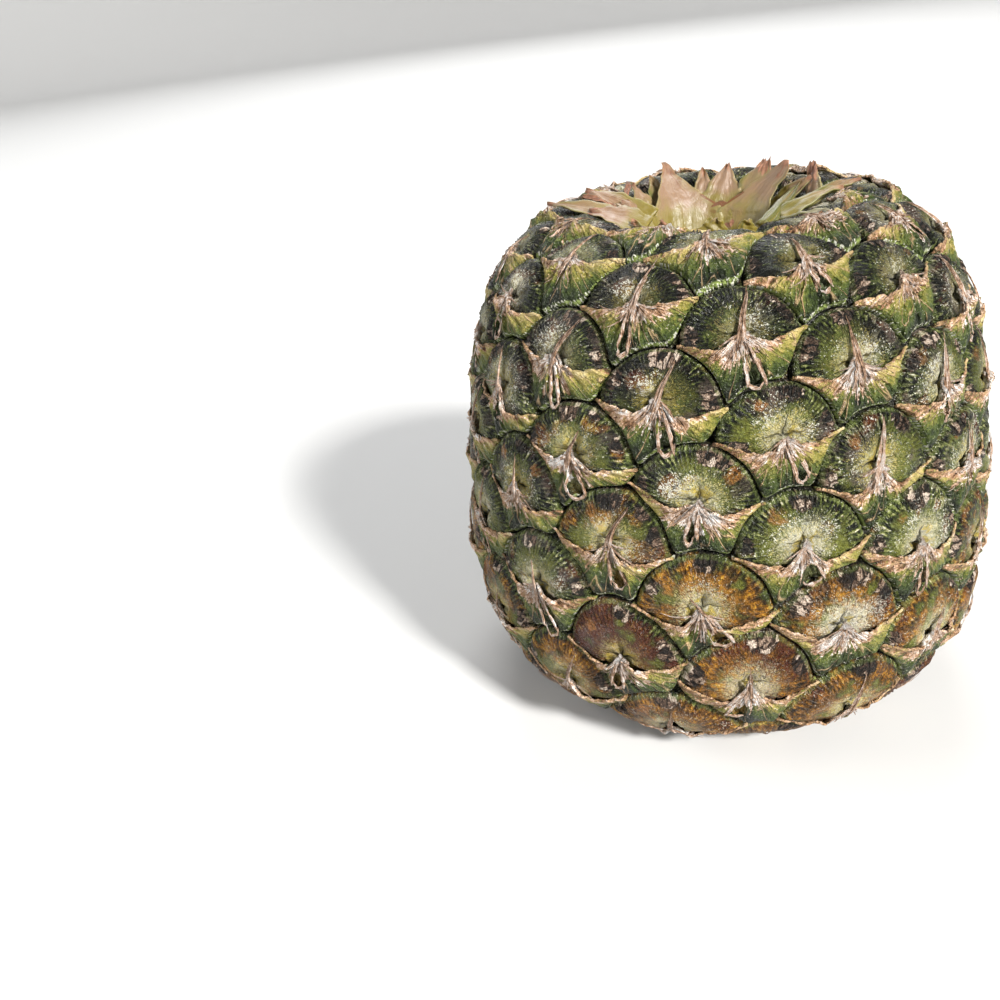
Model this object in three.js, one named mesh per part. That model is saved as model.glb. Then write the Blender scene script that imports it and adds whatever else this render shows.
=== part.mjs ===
// A whole pineapple standing on its base, with its crown twisted off.
// Millimetres, +Z up. The origin is on the fruit's axis, in the plane that the fruit stands on.
import * as THREE from 'three';
import { ConvexHull } from 'three/addons/math/ConvexHull.js';

// The body is a barrel turned about Z, a little wider low down.
const bodyRadius = 63;
const halfHeight = 61.2;
const lengthPower = 3.2;      // how straight the sides are: 2 is an ellipse
const cornerPower = 4.2;      // how square the shoulder and the base corner are
const taper = 0.1;            // share of the radius lost from mid-height to either end's middle
const topDip = { radius: 36, depth: 8 };    // the crown sat in a shallow dip in the top
const baseDip = { radius: 36, depth: 7 };   // and the stalk ends in one in the base
const baseSink = 1.3;         // how far the barrel is let down, so that its lowest eyes are pressed flat

// The eyes lie on one rising spiral, each turned by the same angle from the one before.
const divergence = THREE.MathUtils.degToRad(99.67);
const frontEyeAngle = THREE.MathUtils.degToRad(-79.4);
const frontEyeCount = 21.84;  // eyes between mid-height and the one that faces the front
const eyeArea = 487;          // square millimetres, at mid-height
const eyeShrink = 0.00557;    // share of that area lost for each millimetre up the side
const baseEyeShrink = 0.6;    // share lost again from the base corner to the stalk
const baseCorner = [-80, -115];
const navelLift = 1.2;        // an eye's middle is above the middle of its cell

// How far an eye's parts stand out of the barrel, which runs through its dome
const furrowHeight = -3.6;
const domeHeight = -0.3;
const bractHeight = 0.4;
const navelHeight = -0.9;
const crestRing = 0.7;        // where the dome and the bract are highest, from navel to furrow

// The round places that hold no eyes: the crown's scar above and the stalk's below
const scars = {               // an eye's least distance from the axis, and the ring that keeps its cell away
  top: { eyeLimit: 25.5, guardRadius: 16 },
  base: { eyeLimit: 21, guardRadius: 13.5 },
};
const guardCount = 9;
const gap = 0.3;

const stubRimRadius = 17.2;
const stubRimHeight = 113.2;
const stubWall = 1.6;
const stubFloorRadius = 12.6;
const stubFloorHeight = 103.2;
const stubFloorThickness = 2;

const stemRadius = 13.5;
const stemLength = 9.4;
const stemSides = 20;

// Leaf bases in three whorls: where each whorl starts, how steeply it leaves, and how steep it ends
const whorls = {
  inner: { radius: 16.9, height: stubRimHeight + gap, rise: 68, endRise: 54 },
  middle: { radius: 19.2, height: 114.4, rise: 62, endRise: 44 },
  outer: { radius: 23.6, height: 118.1, rise: 20, endRise: 8 },
};
// Each leaf: its whorl, the way its base points in degrees from +X, its width and its length
const leaves = [
  ['inner', 134, 14.4, 12.4], ['inner', 84, 8.6, 2.4], ['inner', 34, 14.6, 11.8],
  ['inner', -11, 11.2, 8.5], ['inner', -49, 10, 2.8], ['inner', -88, 10.4, 2.4],
  ['inner', -132, 10, 3.2], ['inner', -179, 12, 9],
  ['middle', 160, 8.2, 10.5], ['middle', 136, 6, 8], ['middle', 101, 5.6, 7], ['middle', 78, 8.8, 8.5],
  ['middle', 54, 6.6, 11.4], ['middle', 22, 9.5, 9], ['middle', -24, 8, 6], ['middle', -66, 7, 3.5],
  ['middle', -110, 7, 3.5], ['middle', -154, 9.5, 8],
  ['outer', -147, 8.6, 15.5], ['outer', -169, 8, 10], ['outer', 170, 6.6, 8.5], ['outer', 26, 8.6, 7],
  ['outer', -4, 9.4, 9.5], ['outer', -34, 8, 8],
];
const sweptBack = THREE.MathUtils.degToRad(8);   // the crown was pulled over backwards, to +Y
const leafThickness = 1.5;
const leafTipThickness = 0.7;
const leafTipWidth = 1.2;
const leafSections = 5;
const leafColumns = 4;

const rindMaterial = new THREE.MeshStandardMaterial({ name: 'rind', color: 0x39431f, roughness: 0.5, metalness: 0 });
const pulpMaterial = new THREE.MeshStandardMaterial({ name: 'pulp', color: 0xd8cf7e, roughness: 0.4, metalness: 0 });
const leafMaterial = new THREE.MeshStandardMaterial({ name: 'leaf_base', color: 0xcdbf94, roughness: 0.5, metalness: 0 });
const stemMaterial = new THREE.MeshStandardMaterial({ name: 'stalk', color: 0x9b8a5c, roughness: 0.8, metalness: 0 });

// The barrel's outline from the stalk to the crown, with three running totals at each point: the
// length along the outline, the number of eyes, and the stretch that a sphere's map would have.
function makeOutline(steps = 1200) {
  const rows = [];
  for (let k = 0; k <= steps; k += 1) {
    const turn = Math.PI * (k / steps - 0.5);
    const t = Math.sign(turn) * Math.abs(Math.sin(turn)) ** (2 / lengthPower);
    const r = bodyRadius * Math.abs(Math.cos(turn)) ** (2 / cornerPower) * (1 - taper * t);
    const dip = t > 0 ? topDip : baseDip;
    const sunk = -Math.sign(t) * dip.depth * Math.max(0, 1 - (r / dip.radius) ** 2) ** 1.5;
    rows.push({ r: Math.max(r, 1e-3), z: halfHeight * (1 + t) + sunk - baseSink, s: 0, n: 0, stretch: 0 });
  }
  const eyesPerLength = (row) => {
    const low = THREE.MathUtils.smoothstep(-row.s, -baseCorner[0], -baseCorner[1]);
    return (2 * Math.PI * row.r) / (eyeArea * (1 - eyeShrink * row.s) * (1 - baseEyeShrink * low));
  };
  const middle = steps / 2;
  const extend = (from, to) => {
    const length = Math.hypot(to.r - from.r, to.z - from.z);
    const way = Math.sign(rows.indexOf(to) - rows.indexOf(from));
    to.s = from.s + way * length;
    to.n = from.n + way * length * (eyesPerLength(from) + eyesPerLength({ r: to.r, s: to.s })) / 2;
    const spread = Math.log(to.r / from.r);
    to.stretch = from.stretch + way * length * (Math.abs(spread) < 1e-9 ? 1 / from.r : spread / (to.r - from.r));
  };
  for (let k = middle; k < steps; k += 1) extend(rows[k], rows[k + 1]);
  for (let k = middle; k > 0; k -= 1) extend(rows[k], rows[k - 1]);
  return rows;
}
const outline = makeOutline();

function outlineAt(key, value) {
  let low = 0;
  let high = outline.length - 1;
  while (high - low > 1) {
    const mid = (low + high) >> 1;
    if (outline[mid][key] <= value) low = mid; else high = mid;
  }
  const a = outline[low];
  const b = outline[high];
  const mix = THREE.MathUtils.clamp((value - a[key]) / (b[key] - a[key]), 0, 1);
  const blend = (name) => a[name] + (b[name] - a[name]) * mix;
  return { r: blend('r'), z: blend('z'), s: blend('s'), stretch: blend('stretch'), slope: [b.r - a.r, b.z - a.z] };
}

// A place on the barrel as a direction on a sphere, by the map that keeps small shapes true
function toSphere(angle, stretch) {
  const latitude = Math.atan(Math.sinh(stretch));
  const ring = Math.cos(latitude);
  return new THREE.Vector3(ring * Math.cos(angle), ring * Math.sin(angle), Math.sin(latitude));
}

// The way back: the point of the barrel in that direction, raised out of it by a height
function fromSphere(direction, height) {
  const sine = THREE.MathUtils.clamp(direction.z / direction.length(), -0.9999999, 0.9999999);
  const place = outlineAt('stretch', Math.atanh(sine));
  const angle = Math.atan2(direction.y, direction.x);
  const steep = Math.hypot(...place.slope);
  const r = place.r + (height * place.slope[1]) / steep;
  const z = place.z - (height * place.slope[0]) / steep;
  return new THREE.Vector3(r * Math.cos(angle), r * Math.sin(angle), Math.max(z, 0));
}

// Eyes on the spiral, and two rings of guards that keep their cells off the scars
function makeSites() {
  const sites = [];
  const first = Math.ceil(outline[0].n - frontEyeCount);
  const last = Math.floor(outline[outline.length - 1].n - frontEyeCount);
  for (let k = first; k <= last; k += 1) {
    const place = outlineAt('n', k + frontEyeCount);
    if (place.r < scars[place.z > halfHeight ? 'top' : 'base'].eyeLimit) continue;
    const angle = frontEyeAngle + divergence * k;
    const cell = outlineAt('s', place.s - navelLift);
    sites.push({ kind: 'eye', at: toSphere(angle, cell.stretch), navel: toSphere(angle, place.stretch) });
  }
  const quarter = outline.length / 4;
  for (const [kind, rows] of [['base', outline.slice(0, quarter)], ['top', outline.slice(-quarter)]]) {
    const offRing = (row) => Math.abs(row.r - scars[kind].guardRadius);
    const row = rows.reduce((a, b) => (offRing(a) < offRing(b) ? a : b));
    for (let k = 0; k < guardCount; k += 1) {
      sites.push({ kind, at: toSphere((2 * Math.PI * k) / guardCount, row.stretch) });
    }
  }
  return sites;
}

// The cells round the sites: each hull triangle is a corner where three cells meet
function makeCells(sites) {
  const points = sites.map((site) => site.at);
  const hull = new ConvexHull().setFromPoints(points);
  const corners = new Map();
  const around = points.map(() => []);
  hull.faces.forEach((face, index) => {
    const ids = [face.edge, face.edge.next, face.edge.next.next].map((edge) => points.indexOf(edge.head().point));
    corners.set(index, face.normal.clone());
    ids.forEach((id, k) => around[id].push({ face: index, next: ids[(k + 1) % 3], last: ids[(k + 2) % 3] }));
  });
  return around.map((wedges, id) => {
    const loop = [wedges[0]];
    while (loop.length < wedges.length) {
      const wanted = loop[loop.length - 1].last;
      loop.push(wedges.find((wedge) => wedge.next === wanted));
    }
    return { id, corners: loop.map((wedge) => corners.get(wedge.face)), neighbours: loop.map((wedge) => wedge.last) };
  });
}

// Collects triangles over shared points, so that the result is one closed surface
class Shell {
  constructor() {
    this.points = [];
    this.faces = [];
    this.known = new Map();
  }

  point(p) {
    const key = [p.x, p.y, p.z].map((v) => Math.round(v * 1e4)).join();
    if (!this.known.has(key)) {
      this.known.set(key, this.points.length);
      this.points.push(p);
    }
    return this.known.get(key);
  }

  face(...ids) {
    if (new Set(ids).size === 3) this.faces.push(ids);
  }

  // Triangles between two rings with as many points, the outer one first, anticlockwise seen from outside
  band(outer, inner) {
    outer.forEach((id, k) => {
      const next = (k + 1) % outer.length;
      this.face(id, outer[next], inner[next]);
      this.face(id, inner[next], inner[k]);
    });
  }

  fan(ring, middle) {
    ring.forEach((id, k) => this.face(id, ring[(k + 1) % ring.length], middle));
  }

  geometry() {
    const geometry = new THREE.BufferGeometry();
    const numbers = this.points.flatMap((p) => [p.x, p.y, p.z]);
    geometry.setAttribute('position', new THREE.Float32BufferAttribute(numbers, 3));
    geometry.setIndex(this.faces.flat());
    geometry.computeVertexNormals();
    return geometry;
  }
}

const between = (a, b, mix) => a.clone().lerp(b, mix).normalize();

// The boundary of a cell on the sphere: its corners with the middle of each side between them
function cellBoundary(cell) {
  return cell.corners.flatMap((corner, k) => {
    const next = cell.corners[(k + 1) % cell.corners.length];
    return [corner, between(corner, next, 0.5)];
  });
}

// One eye: a furrow all round, a dome above the navel and the bract's thicker lip below it
function addEye(shell, site, boundary) {
  const furrow = boundary.map((b) => shell.point(fromSphere(b, furrowHeight)));
  const crest = boundary.map((b) => {
    const place = between(site.navel, b, crestRing);
    const below = (site.navel.z - b.z) / b.distanceTo(site.navel);
    const height = THREE.MathUtils.mapLinear(below, -1, 1, domeHeight, bractHeight);
    return shell.point(fromSphere(place, height));
  });
  shell.band(furrow, crest);
  shell.fan(crest, shell.point(fromSphere(site.navel, navelHeight)));
}

// A round scar inside the loop of furrows that the nearest eyes leave, as rings of [radius, height]
function addScar(shell, loop, rings, middleHeight) {
  let outer = loop.map((b) => shell.point(fromSphere(b, furrowHeight)));
  for (const [radius, height] of rings) {
    const inner = loop.map((b) => {
      const angle = Math.atan2(b.y, b.x);
      return shell.point(new THREE.Vector3(radius * Math.cos(angle), radius * Math.sin(angle), height));
    });
    shell.band(outer, inner);
    outer = inner;
  }
  shell.fan(outer, shell.point(new THREE.Vector3(0, 0, middleHeight)));
}

function fruitGeometry() {
  const sites = makeSites();
  const cells = makeCells(sites);
  const shell = new Shell();
  const edges = { top: [], base: [] };
  for (const cell of cells.filter(({ id }) => sites[id].kind === 'eye')) {
    const boundary = cellBoundary(cell);
    addEye(shell, sites[cell.id], boundary);
    cell.neighbours.forEach((id, k) => {
      const { kind } = sites[id];
      if (kind !== 'eye') edges[kind].push(...[0, 1, 2].map((step) => boundary[(2 * k + step) % boundary.length]));
    });
  }
  const wayRound = (b) => Math.atan2(b.y, b.x);
  const ordered = (list) => [...list].sort((a, b) => wayRound(a) - wayRound(b))
    .filter((b, k, all) => k === 0 || b.distanceTo(all[k - 1]) > 1e-6);
  const socketRadius = stubRimRadius + gap;
  const socketFloor = stubFloorHeight - stubFloorThickness - gap;
  const collarHeight = stubRimHeight - 2;
  addScar(shell, ordered(edges.top), [[socketRadius, collarHeight], [socketRadius, socketFloor]], socketFloor);
  const hollow = [[stemRadius + gap, 2], [stemRadius + gap, stemLength + gap]];
  addScar(shell, ordered(edges.base).reverse(), hollow, stemLength + gap);
  return shell.geometry();
}

// A solid turned about Z from the outline of half its section, which starts and ends on the axis
function turned(points, sides = 24) {
  const geometry = new THREE.LatheGeometry(points.map(([x, y]) => new THREE.Vector2(x, y)), sides);
  return geometry.rotateX(Math.PI / 2);
}

function stubGeometry() {
  const bottom = stubFloorHeight - stubFloorThickness;
  return turned([
    [0, bottom], [stubFloorRadius + stubWall, bottom], [stubRimRadius, stubRimHeight],
    [stubRimRadius - stubWall, stubRimHeight], [stubFloorRadius, stubFloorHeight + 1], [0, stubFloorHeight],
  ]);
}

// A leaf base follows its whorl's cone, so across its width it curves about the fruit's axis.
function leafGeometry([whorl, bearing, width, length]) {
  const { radius, height, rise, endRise } = whorls[whorl];
  const middle = THREE.MathUtils.degToRad(bearing);
  const shell = new Shell();
  const rings = [];
  let r = radius;
  let z = height;
  for (let k = 0; k <= leafSections; k += 1) {
    const along = k / leafSections;
    const climb = THREE.MathUtils.degToRad(rise + (endRise - rise) * along);
    const half = ((width - leafTipWidth) * (1 - along ** 1.4) + leafTipWidth) / 2;
    const thickness = leafThickness + (leafTipThickness - leafThickness) * along;
    const side = (lift) => Array.from({ length: leafColumns + 1 }, (_, c) => {
      const angle = middle + sweptBack * Math.cos(middle) * along + ((2 * c) / leafColumns - 1) * (half / r);
      const out = r - lift * Math.sin(climb);
      return shell.point(new THREE.Vector3(out * Math.cos(angle), out * Math.sin(angle), z + lift * Math.cos(climb)));
    });
    rings.push([...side(0), ...side(thickness).reverse()]);
    r += (length / leafSections) * Math.cos(climb);
    z += (length / leafSections) * Math.sin(climb);
  }
  for (let k = 0; k < leafSections; k += 1) shell.band(rings[k], rings[k + 1]);
  const caps = leafColumns * 2 + 1;
  for (let c = 0; c < leafColumns; c += 1) {
    const start = rings[0];
    const end = rings[leafSections];
    shell.face(start[c], start[caps - c], start[c + 1]);
    shell.face(start[c + 1], start[caps - c], start[caps - c - 1]);
    shell.face(end[c], end[c + 1], end[caps - c]);
    shell.face(end[c + 1], end[caps - c - 1], end[caps - c]);
  }
  return shell.geometry();
}

function piece(name, geometry, material) {
  const mesh = new THREE.Mesh(geometry, material);
  mesh.name = name;
  return mesh;
}

const pineapple = new THREE.Group();
pineapple.add(piece('fruit', fruitGeometry(), rindMaterial));
pineapple.add(piece('crown_stub', stubGeometry(), pulpMaterial));
leaves.forEach((leaf, k) => {
  pineapple.add(piece(`crown_leaf_${String(k + 1).padStart(2, '0')}`, leafGeometry(leaf), leafMaterial));
});
pineapple.add(piece('fruit_stem', turned([[0, 0], [stemRadius, 0], [stemRadius, stemLength], [0, stemLength]], stemSides), stemMaterial));

export default pineapple;
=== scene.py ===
import math

import bmesh
import bpy
import numpy as np
from mathutils import Matrix, Vector


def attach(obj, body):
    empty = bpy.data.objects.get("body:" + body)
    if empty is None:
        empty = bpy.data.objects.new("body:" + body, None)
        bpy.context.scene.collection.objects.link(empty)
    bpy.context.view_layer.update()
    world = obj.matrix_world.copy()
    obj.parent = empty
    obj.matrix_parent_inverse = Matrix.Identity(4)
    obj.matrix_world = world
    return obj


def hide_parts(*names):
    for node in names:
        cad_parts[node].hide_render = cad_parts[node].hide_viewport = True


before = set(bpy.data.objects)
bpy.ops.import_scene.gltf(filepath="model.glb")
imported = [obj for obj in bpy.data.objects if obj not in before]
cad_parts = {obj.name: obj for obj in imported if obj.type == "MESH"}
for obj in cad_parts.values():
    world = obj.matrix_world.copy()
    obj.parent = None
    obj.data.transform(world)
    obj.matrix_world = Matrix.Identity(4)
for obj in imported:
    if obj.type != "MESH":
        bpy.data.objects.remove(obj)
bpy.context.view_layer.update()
mm = 0.001
full = 2 * math.pi


# Small helpers

class Wire:                                     # a socket that can be used in sums
    def __init__(self, tree, socket):
        self.tree = tree
        self.socket = socket

    def node(self, kind, settings=(), inputs=(), out=0):
        made = self.tree.nodes.new(kind)
        for name, value in dict(settings).items():
            setattr(made, name, value)
        for name, value in dict(inputs).items():
            if isinstance(value, Wire):
                self.tree.links.new(value.socket, made.inputs[name])
            else:
                made.inputs[name].default_value = value
        return Wire(self.tree, made.outputs[out])

    def math(self, operation, other=0.0):
        return self.node("ShaderNodeMath", {"operation": operation}, {0: self, 1: other})

    def __rsub__(self, other):
        return self.node("ShaderNodeMath", {"operation": "SUBTRACT"}, {0: other, 1: self})

    def __abs__(self):
        return self.math("ABSOLUTE")

    def step(self, low, high):                  # 0 below low, 1 above high, smooth between
        inputs = {0: self, 1: low, 2: high}
        return self.node("ShaderNodeMapRange", {"interpolation_type": "SMOOTHSTEP"}, inputs)

    def mix(self, first, second):               # self is the share of the second colour
        first, second = (value if isinstance(value, Wire) else (*value, 1) for value in (first, second))
        return self.node("ShaderNodeMix", {"data_type": "RGBA"}, {0: self, 6: first, 7: second}, 2)

    def ramp(self, stops):                      # the colour at this level, from (level, colour) pairs
        made = self.node("ShaderNodeValToRGB", {}, {0: self})
        elements = made.socket.node.color_ramp.elements
        while len(elements) < len(stops):
            elements.new(0.5)
        for element, (spot, color) in zip(elements, stops):
            element.position = spot
            element.color = (*color, 1)
        return made

    def scaled(self, amount):
        return self.node("ShaderNodeVectorMath", {"operation": "SCALE"}, {0: self, "Scale": amount})

    def parts(self):                            # x, y and z of a vector
        first = self.node("ShaderNodeSeparateXYZ", {}, {0: self})
        return tuple(Wire(self.tree, socket) for socket in first.socket.node.outputs)

    def noise(self, scale, detail=2.0, rough=0.5):   # spread out, so that it runs from about 0 to 1
        inputs = {"Vector": self, "Scale": scale, "Detail": detail, "Roughness": rough}
        return self.node("ShaderNodeTexNoise", {}, inputs) * 2.2 - 0.6

    def cells(self, scale, feature="F1", out=0):
        return self.node("ShaderNodeTexVoronoi", {"feature": feature}, {"Vector": self, "Scale": scale}, out)


for name, operation in (("add", "ADD"), ("radd", "ADD"), ("sub", "SUBTRACT"), ("mul", "MULTIPLY"),
                        ("rmul", "MULTIPLY"), ("truediv", "DIVIDE"), ("pow", "POWER")):
    setattr(Wire, f"__{name}__", lambda self, other, kind=operation: self.math(kind, other))


def joined(first, second, third):               # three values as one vector
    return first.node("ShaderNodeCombineXYZ", {}, {0: first, 1: second, 2: third})


def smooth(low, high, value):
    share = np.clip((np.asarray(value, float) - low) / (high - low), 0, 1)
    return share * share * (3 - 2 * share)


def unit(vectors):
    return vectors / np.linalg.norm(vectors, axis=-1, keepdims=True)


def circled(radius, turn, height):              # points round the axis
    return np.stack([radius * np.cos(turn), radius * np.sin(turn), height + 0 * turn], -1)


def pairs(ring):                                # each item of a closed ring with the one after it
    return zip(ring, ring[1:] + ring[:1])


def gridFaces(start, rows, columns):
    corners = [start + row * columns + column for row in range(rows - 1) for column in range(columns - 1)]
    return [(here, here + columns, here + columns + 1, here + 1) for here in corners]


def makeMesh(name, points, faces, attributes=(), material=None, edges=()):
    mesh = bpy.data.meshes.new(name)
    mesh.from_pydata((np.asarray(points) * mm).tolist(), edges, faces)
    for key, values in dict(attributes).items():
        values = np.asarray(values, np.float32)
        kind, slot = ("FLOAT_VECTOR", "vector") if values.ndim == 2 else ("FLOAT", "value")
        mesh.attributes.new(key, kind, "POINT").data.foreach_set(slot, values.ravel())
    mesh.update()
    if material:
        mesh.materials.append(material)
    thing = bpy.data.objects.new(name, mesh)
    bpy.context.scene.collection.objects.link(thing)
    return thing


def makeStack(name, rings, ends, material):     # rings of points, with a middle point at each of these end heights
    count = len(rings[0])
    points = np.concatenate(rings).tolist()
    faces = []
    for start in range(0, len(points) - count, count):
        faces += [(start + a, start + b, start + count + b, start + count + a) for a, b in pairs(list(range(count)))]
    for start, high, order in ((0, ends[0], -1), (len(points) - count, ends[1], 1)):
        faces += [(start + a, start + b, len(points))[::order] for a, b in pairs(list(range(count)))]
        points.append((0, 0, high))
    return makeMesh(name, points, faces, material=material)


def openTree(name, sizes):                      # a geometry tree with named inputs
    tree = bpy.data.node_groups.new(name, "GeometryNodeTree")
    tree.interface.new_socket("Geometry", in_out="INPUT", socket_type="NodeSocketGeometry")
    for key in sizes:
        tree.interface.new_socket(key, in_out="INPUT", socket_type="NodeSocketFloat")
    tree.interface.new_socket("Geometry", in_out="OUTPUT", socket_type="NodeSocketGeometry")
    start = tree.nodes.new("NodeGroupInput")
    given = {socket.name: Wire(tree, socket) for socket in start.outputs if socket.name}
    return tree, given


def closeTree(tree, shape, material):
    shape = shape.node("GeometryNodeRealizeInstances", {}, {0: shape})
    shape = shape.node("GeometryNodeSetMaterial", {}, {"Geometry": shape, "Material": material})
    end = tree.nodes.new("NodeGroupOutput")
    tree.links.new(shape.socket, end.inputs[0])
    return tree


def named(start, *keys, kind="FLOAT"):
    return [start.node("GeometryNodeInputNamedAttribute", {"data_type": kind}, {"Name": key}) for key in keys]


def grow(thing, tree, sizes):
    modifier = thing.modifiers.new("grow", "NODES")
    modifier.node_group = tree
    for socket in tree.interface.items_tree:
        if socket.in_out == "INPUT" and socket.name in sizes:
            modifier[socket.identifier] = float(sizes[socket.name])
    return thing


foot = {
    "soft": 0.001,                              # what hangs lower than this is pressed together above the floor
}


def settle(thing, node):                  # modifiers become plain mesh, and the piece joins the frame
    if thing.modifiers:
        graph = bpy.context.evaluated_depsgraph_get()
        seen = thing.evaluated_get(graph)
        mesh = bpy.data.meshes.new_from_object(seen, preserve_all_data_layers=True, depsgraph=graph)
        thing.modifiers.clear()
        thing.data = mesh
    mesh, soft = thing.data, foot["soft"]
    spots = np.empty(len(mesh.vertices) * 3, np.float32)
    mesh.vertices.foreach_get("co", spots)
    high = spots[2::3]
    spots[2::3] = np.where(high < soft, soft * np.exp(np.minimum(high / soft - 1, 0)), high)
    mesh.vertices.foreach_set("co", spots)
    mesh.polygons.foreach_set("use_smooth", [True] * len(mesh.polygons))
    mesh.update()
    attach(thing, "root")
    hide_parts(node)
    print(thing.name, len(mesh.vertices), "points", len(mesh.polygons), "faces")


# Camera, light and floor

view = {
    "place": (0.0, -0.23777, 0.16987),
    "forward": (-0.2129, 0.8577, -0.4680),
    "up": (0.0066, 0.4803, 0.8771),
    "lens": 35.646,
    "sensor": 36.0,
    "clip": (0.005, 100.0),
}
lamps = {                                       # place, size, watts, colour
    "key": ((1.7, -1.6, 1.65), 0.42, 178.0, (1.0, 0.985, 0.96)),
    "fill": ((-2.2, -0.3, 1.2), 1.2, 27.0, (0.97, 0.985, 1.0)),
    "back": ((-0.2, 1.9, 1.7), 1.6, 46.0, (1.0, 1.0, 1.0)),
}
studio = {
    "lampsAim": (0, 0, 0.06),
    "sky": (0.86, 0.87, 0.89),
    "skyStrength": 0.20,
    "floor": (0.62, 0.62, 0.615),
    "floorRoughness": 0.7,
    "floorRadius": 2.9,
    "floorBend": 0.5,                           # radius of the bend between floor and wall
    "bendSteps": 12,
    "wallHeight": 1.6,
    "around": 128,
}


def aim(thing, forward, up):
    forward = Vector(forward).normalized()
    right = forward.cross(Vector(up)).normalized()
    up = right.cross(forward)
    thing.matrix_world = Matrix.Translation(thing.location) @ Matrix((right, up, -forward)).transposed().to_4x4()


def makeFloor():                                # a round floor whose edge bends up into a plain wall
    radius, bend, count = studio["floorRadius"], studio["floorBend"], studio["around"]
    turns = np.linspace(0, full, count, endpoint=False)
    rings = [(radius + bend * math.sin(turn), bend * (1 - math.cos(turn)))
             for turn in np.linspace(0, math.pi / 2, studio["bendSteps"] + 1)]
    rings.append((radius + bend, studio["wallHeight"]))
    points = np.concatenate([[(0, 0, 0)]] + [circled(wide / mm, turns, high / mm) for wide, high in rings])
    faces = [(0, 1 + a, 1 + b) for a, b in pairs(list(range(count)))]
    for start in range(1, len(points) - count, count):
        faces += [(start + a, start + count + a, start + count + b, start + b) for a, b in pairs(list(range(count)))]
    paint = bpy.data.materials.new("floorPaint")
    paint.use_nodes = True
    shader = paint.node_tree.nodes["Principled BSDF"]
    shader.inputs["Base Color"].default_value = (*studio["floor"], 1)
    shader.inputs["Roughness"].default_value = studio["floorRoughness"]
    floor = makeMesh("floor", points, faces, material=paint)
    floor.data.polygons.foreach_set("use_smooth", [True] * len(faces))


def makeStudio():
    scene = bpy.context.scene
    camera = bpy.data.objects.new("camera", bpy.data.cameras.new("camera"))
    scene.collection.objects.link(camera)
    camera.data.lens = view["lens"]
    camera.data.sensor_width = view["sensor"]
    camera.data.clip_start, camera.data.clip_end = view["clip"]
    camera.location = view["place"]
    aim(camera, view["forward"], view["up"])
    scene.camera = camera
    for name, (place, size, watts, color) in lamps.items():
        lamp = bpy.data.objects.new(name, bpy.data.lights.new(name, "AREA"))
        lamp.data.size, lamp.data.energy, lamp.data.color = size, watts, color
        lamp.location = place
        aim(lamp, Vector(studio["lampsAim"]) - Vector(place), (0, 0, 1))
        scene.collection.objects.link(lamp)
    scene.world = scene.world or bpy.data.worlds.new("world")
    scene.world.use_nodes = True
    sky = next(node for node in scene.world.node_tree.nodes if node.type == "BACKGROUND")
    sky.inputs["Color"].default_value = (*studio["sky"], 1)
    sky.inputs["Strength"].default_value = studio["skyStrength"]
    scene.view_settings.view_transform = "Standard"


makeStudio()
makeFloor()
print("studio ready")

# The barrel and its spiral of eyes, in millimetres

barrel = {
    "radius": 63.0,
    "halfHeight": 61.2,
    "lengthPower": 3.2,
    "cornerPower": 4.2,
    "taper": 0.1,
    "topDip": (36.0, 8.0),                      # radius and depth
    "baseDip": (36.0, 7.0),
    "sink": 1.3,
    "steps": 3000,
    "leastRadius": 0.001,
}
spiral = {
    "divergence": 99.67,
    "frontAngle": -79.4,
    "frontCount": 21.84,
    "area": 487.0,
    "shrink": 0.00557,
    "baseShrink": 0.6,
    "baseCorner": (80.0, 115.0),
    "navelLift": 1.2,
    "topLimit": 25.5,
    "baseLimit": 21.0,
    "topGuard": 16.0,
    "baseGuard": 13.5,
    "guards": 9,
    "arch": 0.13,                               # how far a cell's side bows up, as a share of its length
    "sideStep": 1.15,
    "seed": 23,
    "firstSeed": 500,
}
strayed = {                                     # how far some eyes grew from their place, to the right and up
    0: (2.1, 0.1), 7: (0.9, 0.6), 18: (0.5, 0.7), 11: (1.1, 0.1), -7: (-2.4, -0.8), -18: (-0.9, -2.0),
    -11: (2.6, 0.2), 25: (-0.4, -0.9), 14: (-1.1, -1.3), -4: (-1.0, -0.7), -22: (2.0, 2.6), -29: (-3.2, -2.2),
    -25: (3.0, -0.5), -36: (1.4, 0.0), -40: (-2.8, -3.2), -47: (0.0, 2.2), 4: (0.2, -1.8), -14: (2.4, -1.2),
    -32: (2.0, -1.8), -43: (2.2, -1.8), 36: (-0.8, 1.3), 29: (1.3, 2.4), 22: (2.3, 1.8), 32: (-2.4, -0.8),
    21: (-2.2, 0.0), 3: (-2.2, 1.2), 33: (2.3, 1.2),
}


def summed(pieces):                             # running total from the barrel's middle
    total = np.concatenate([[0], np.cumsum(pieces)])
    return total - total[barrel["steps"] // 2]


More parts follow.
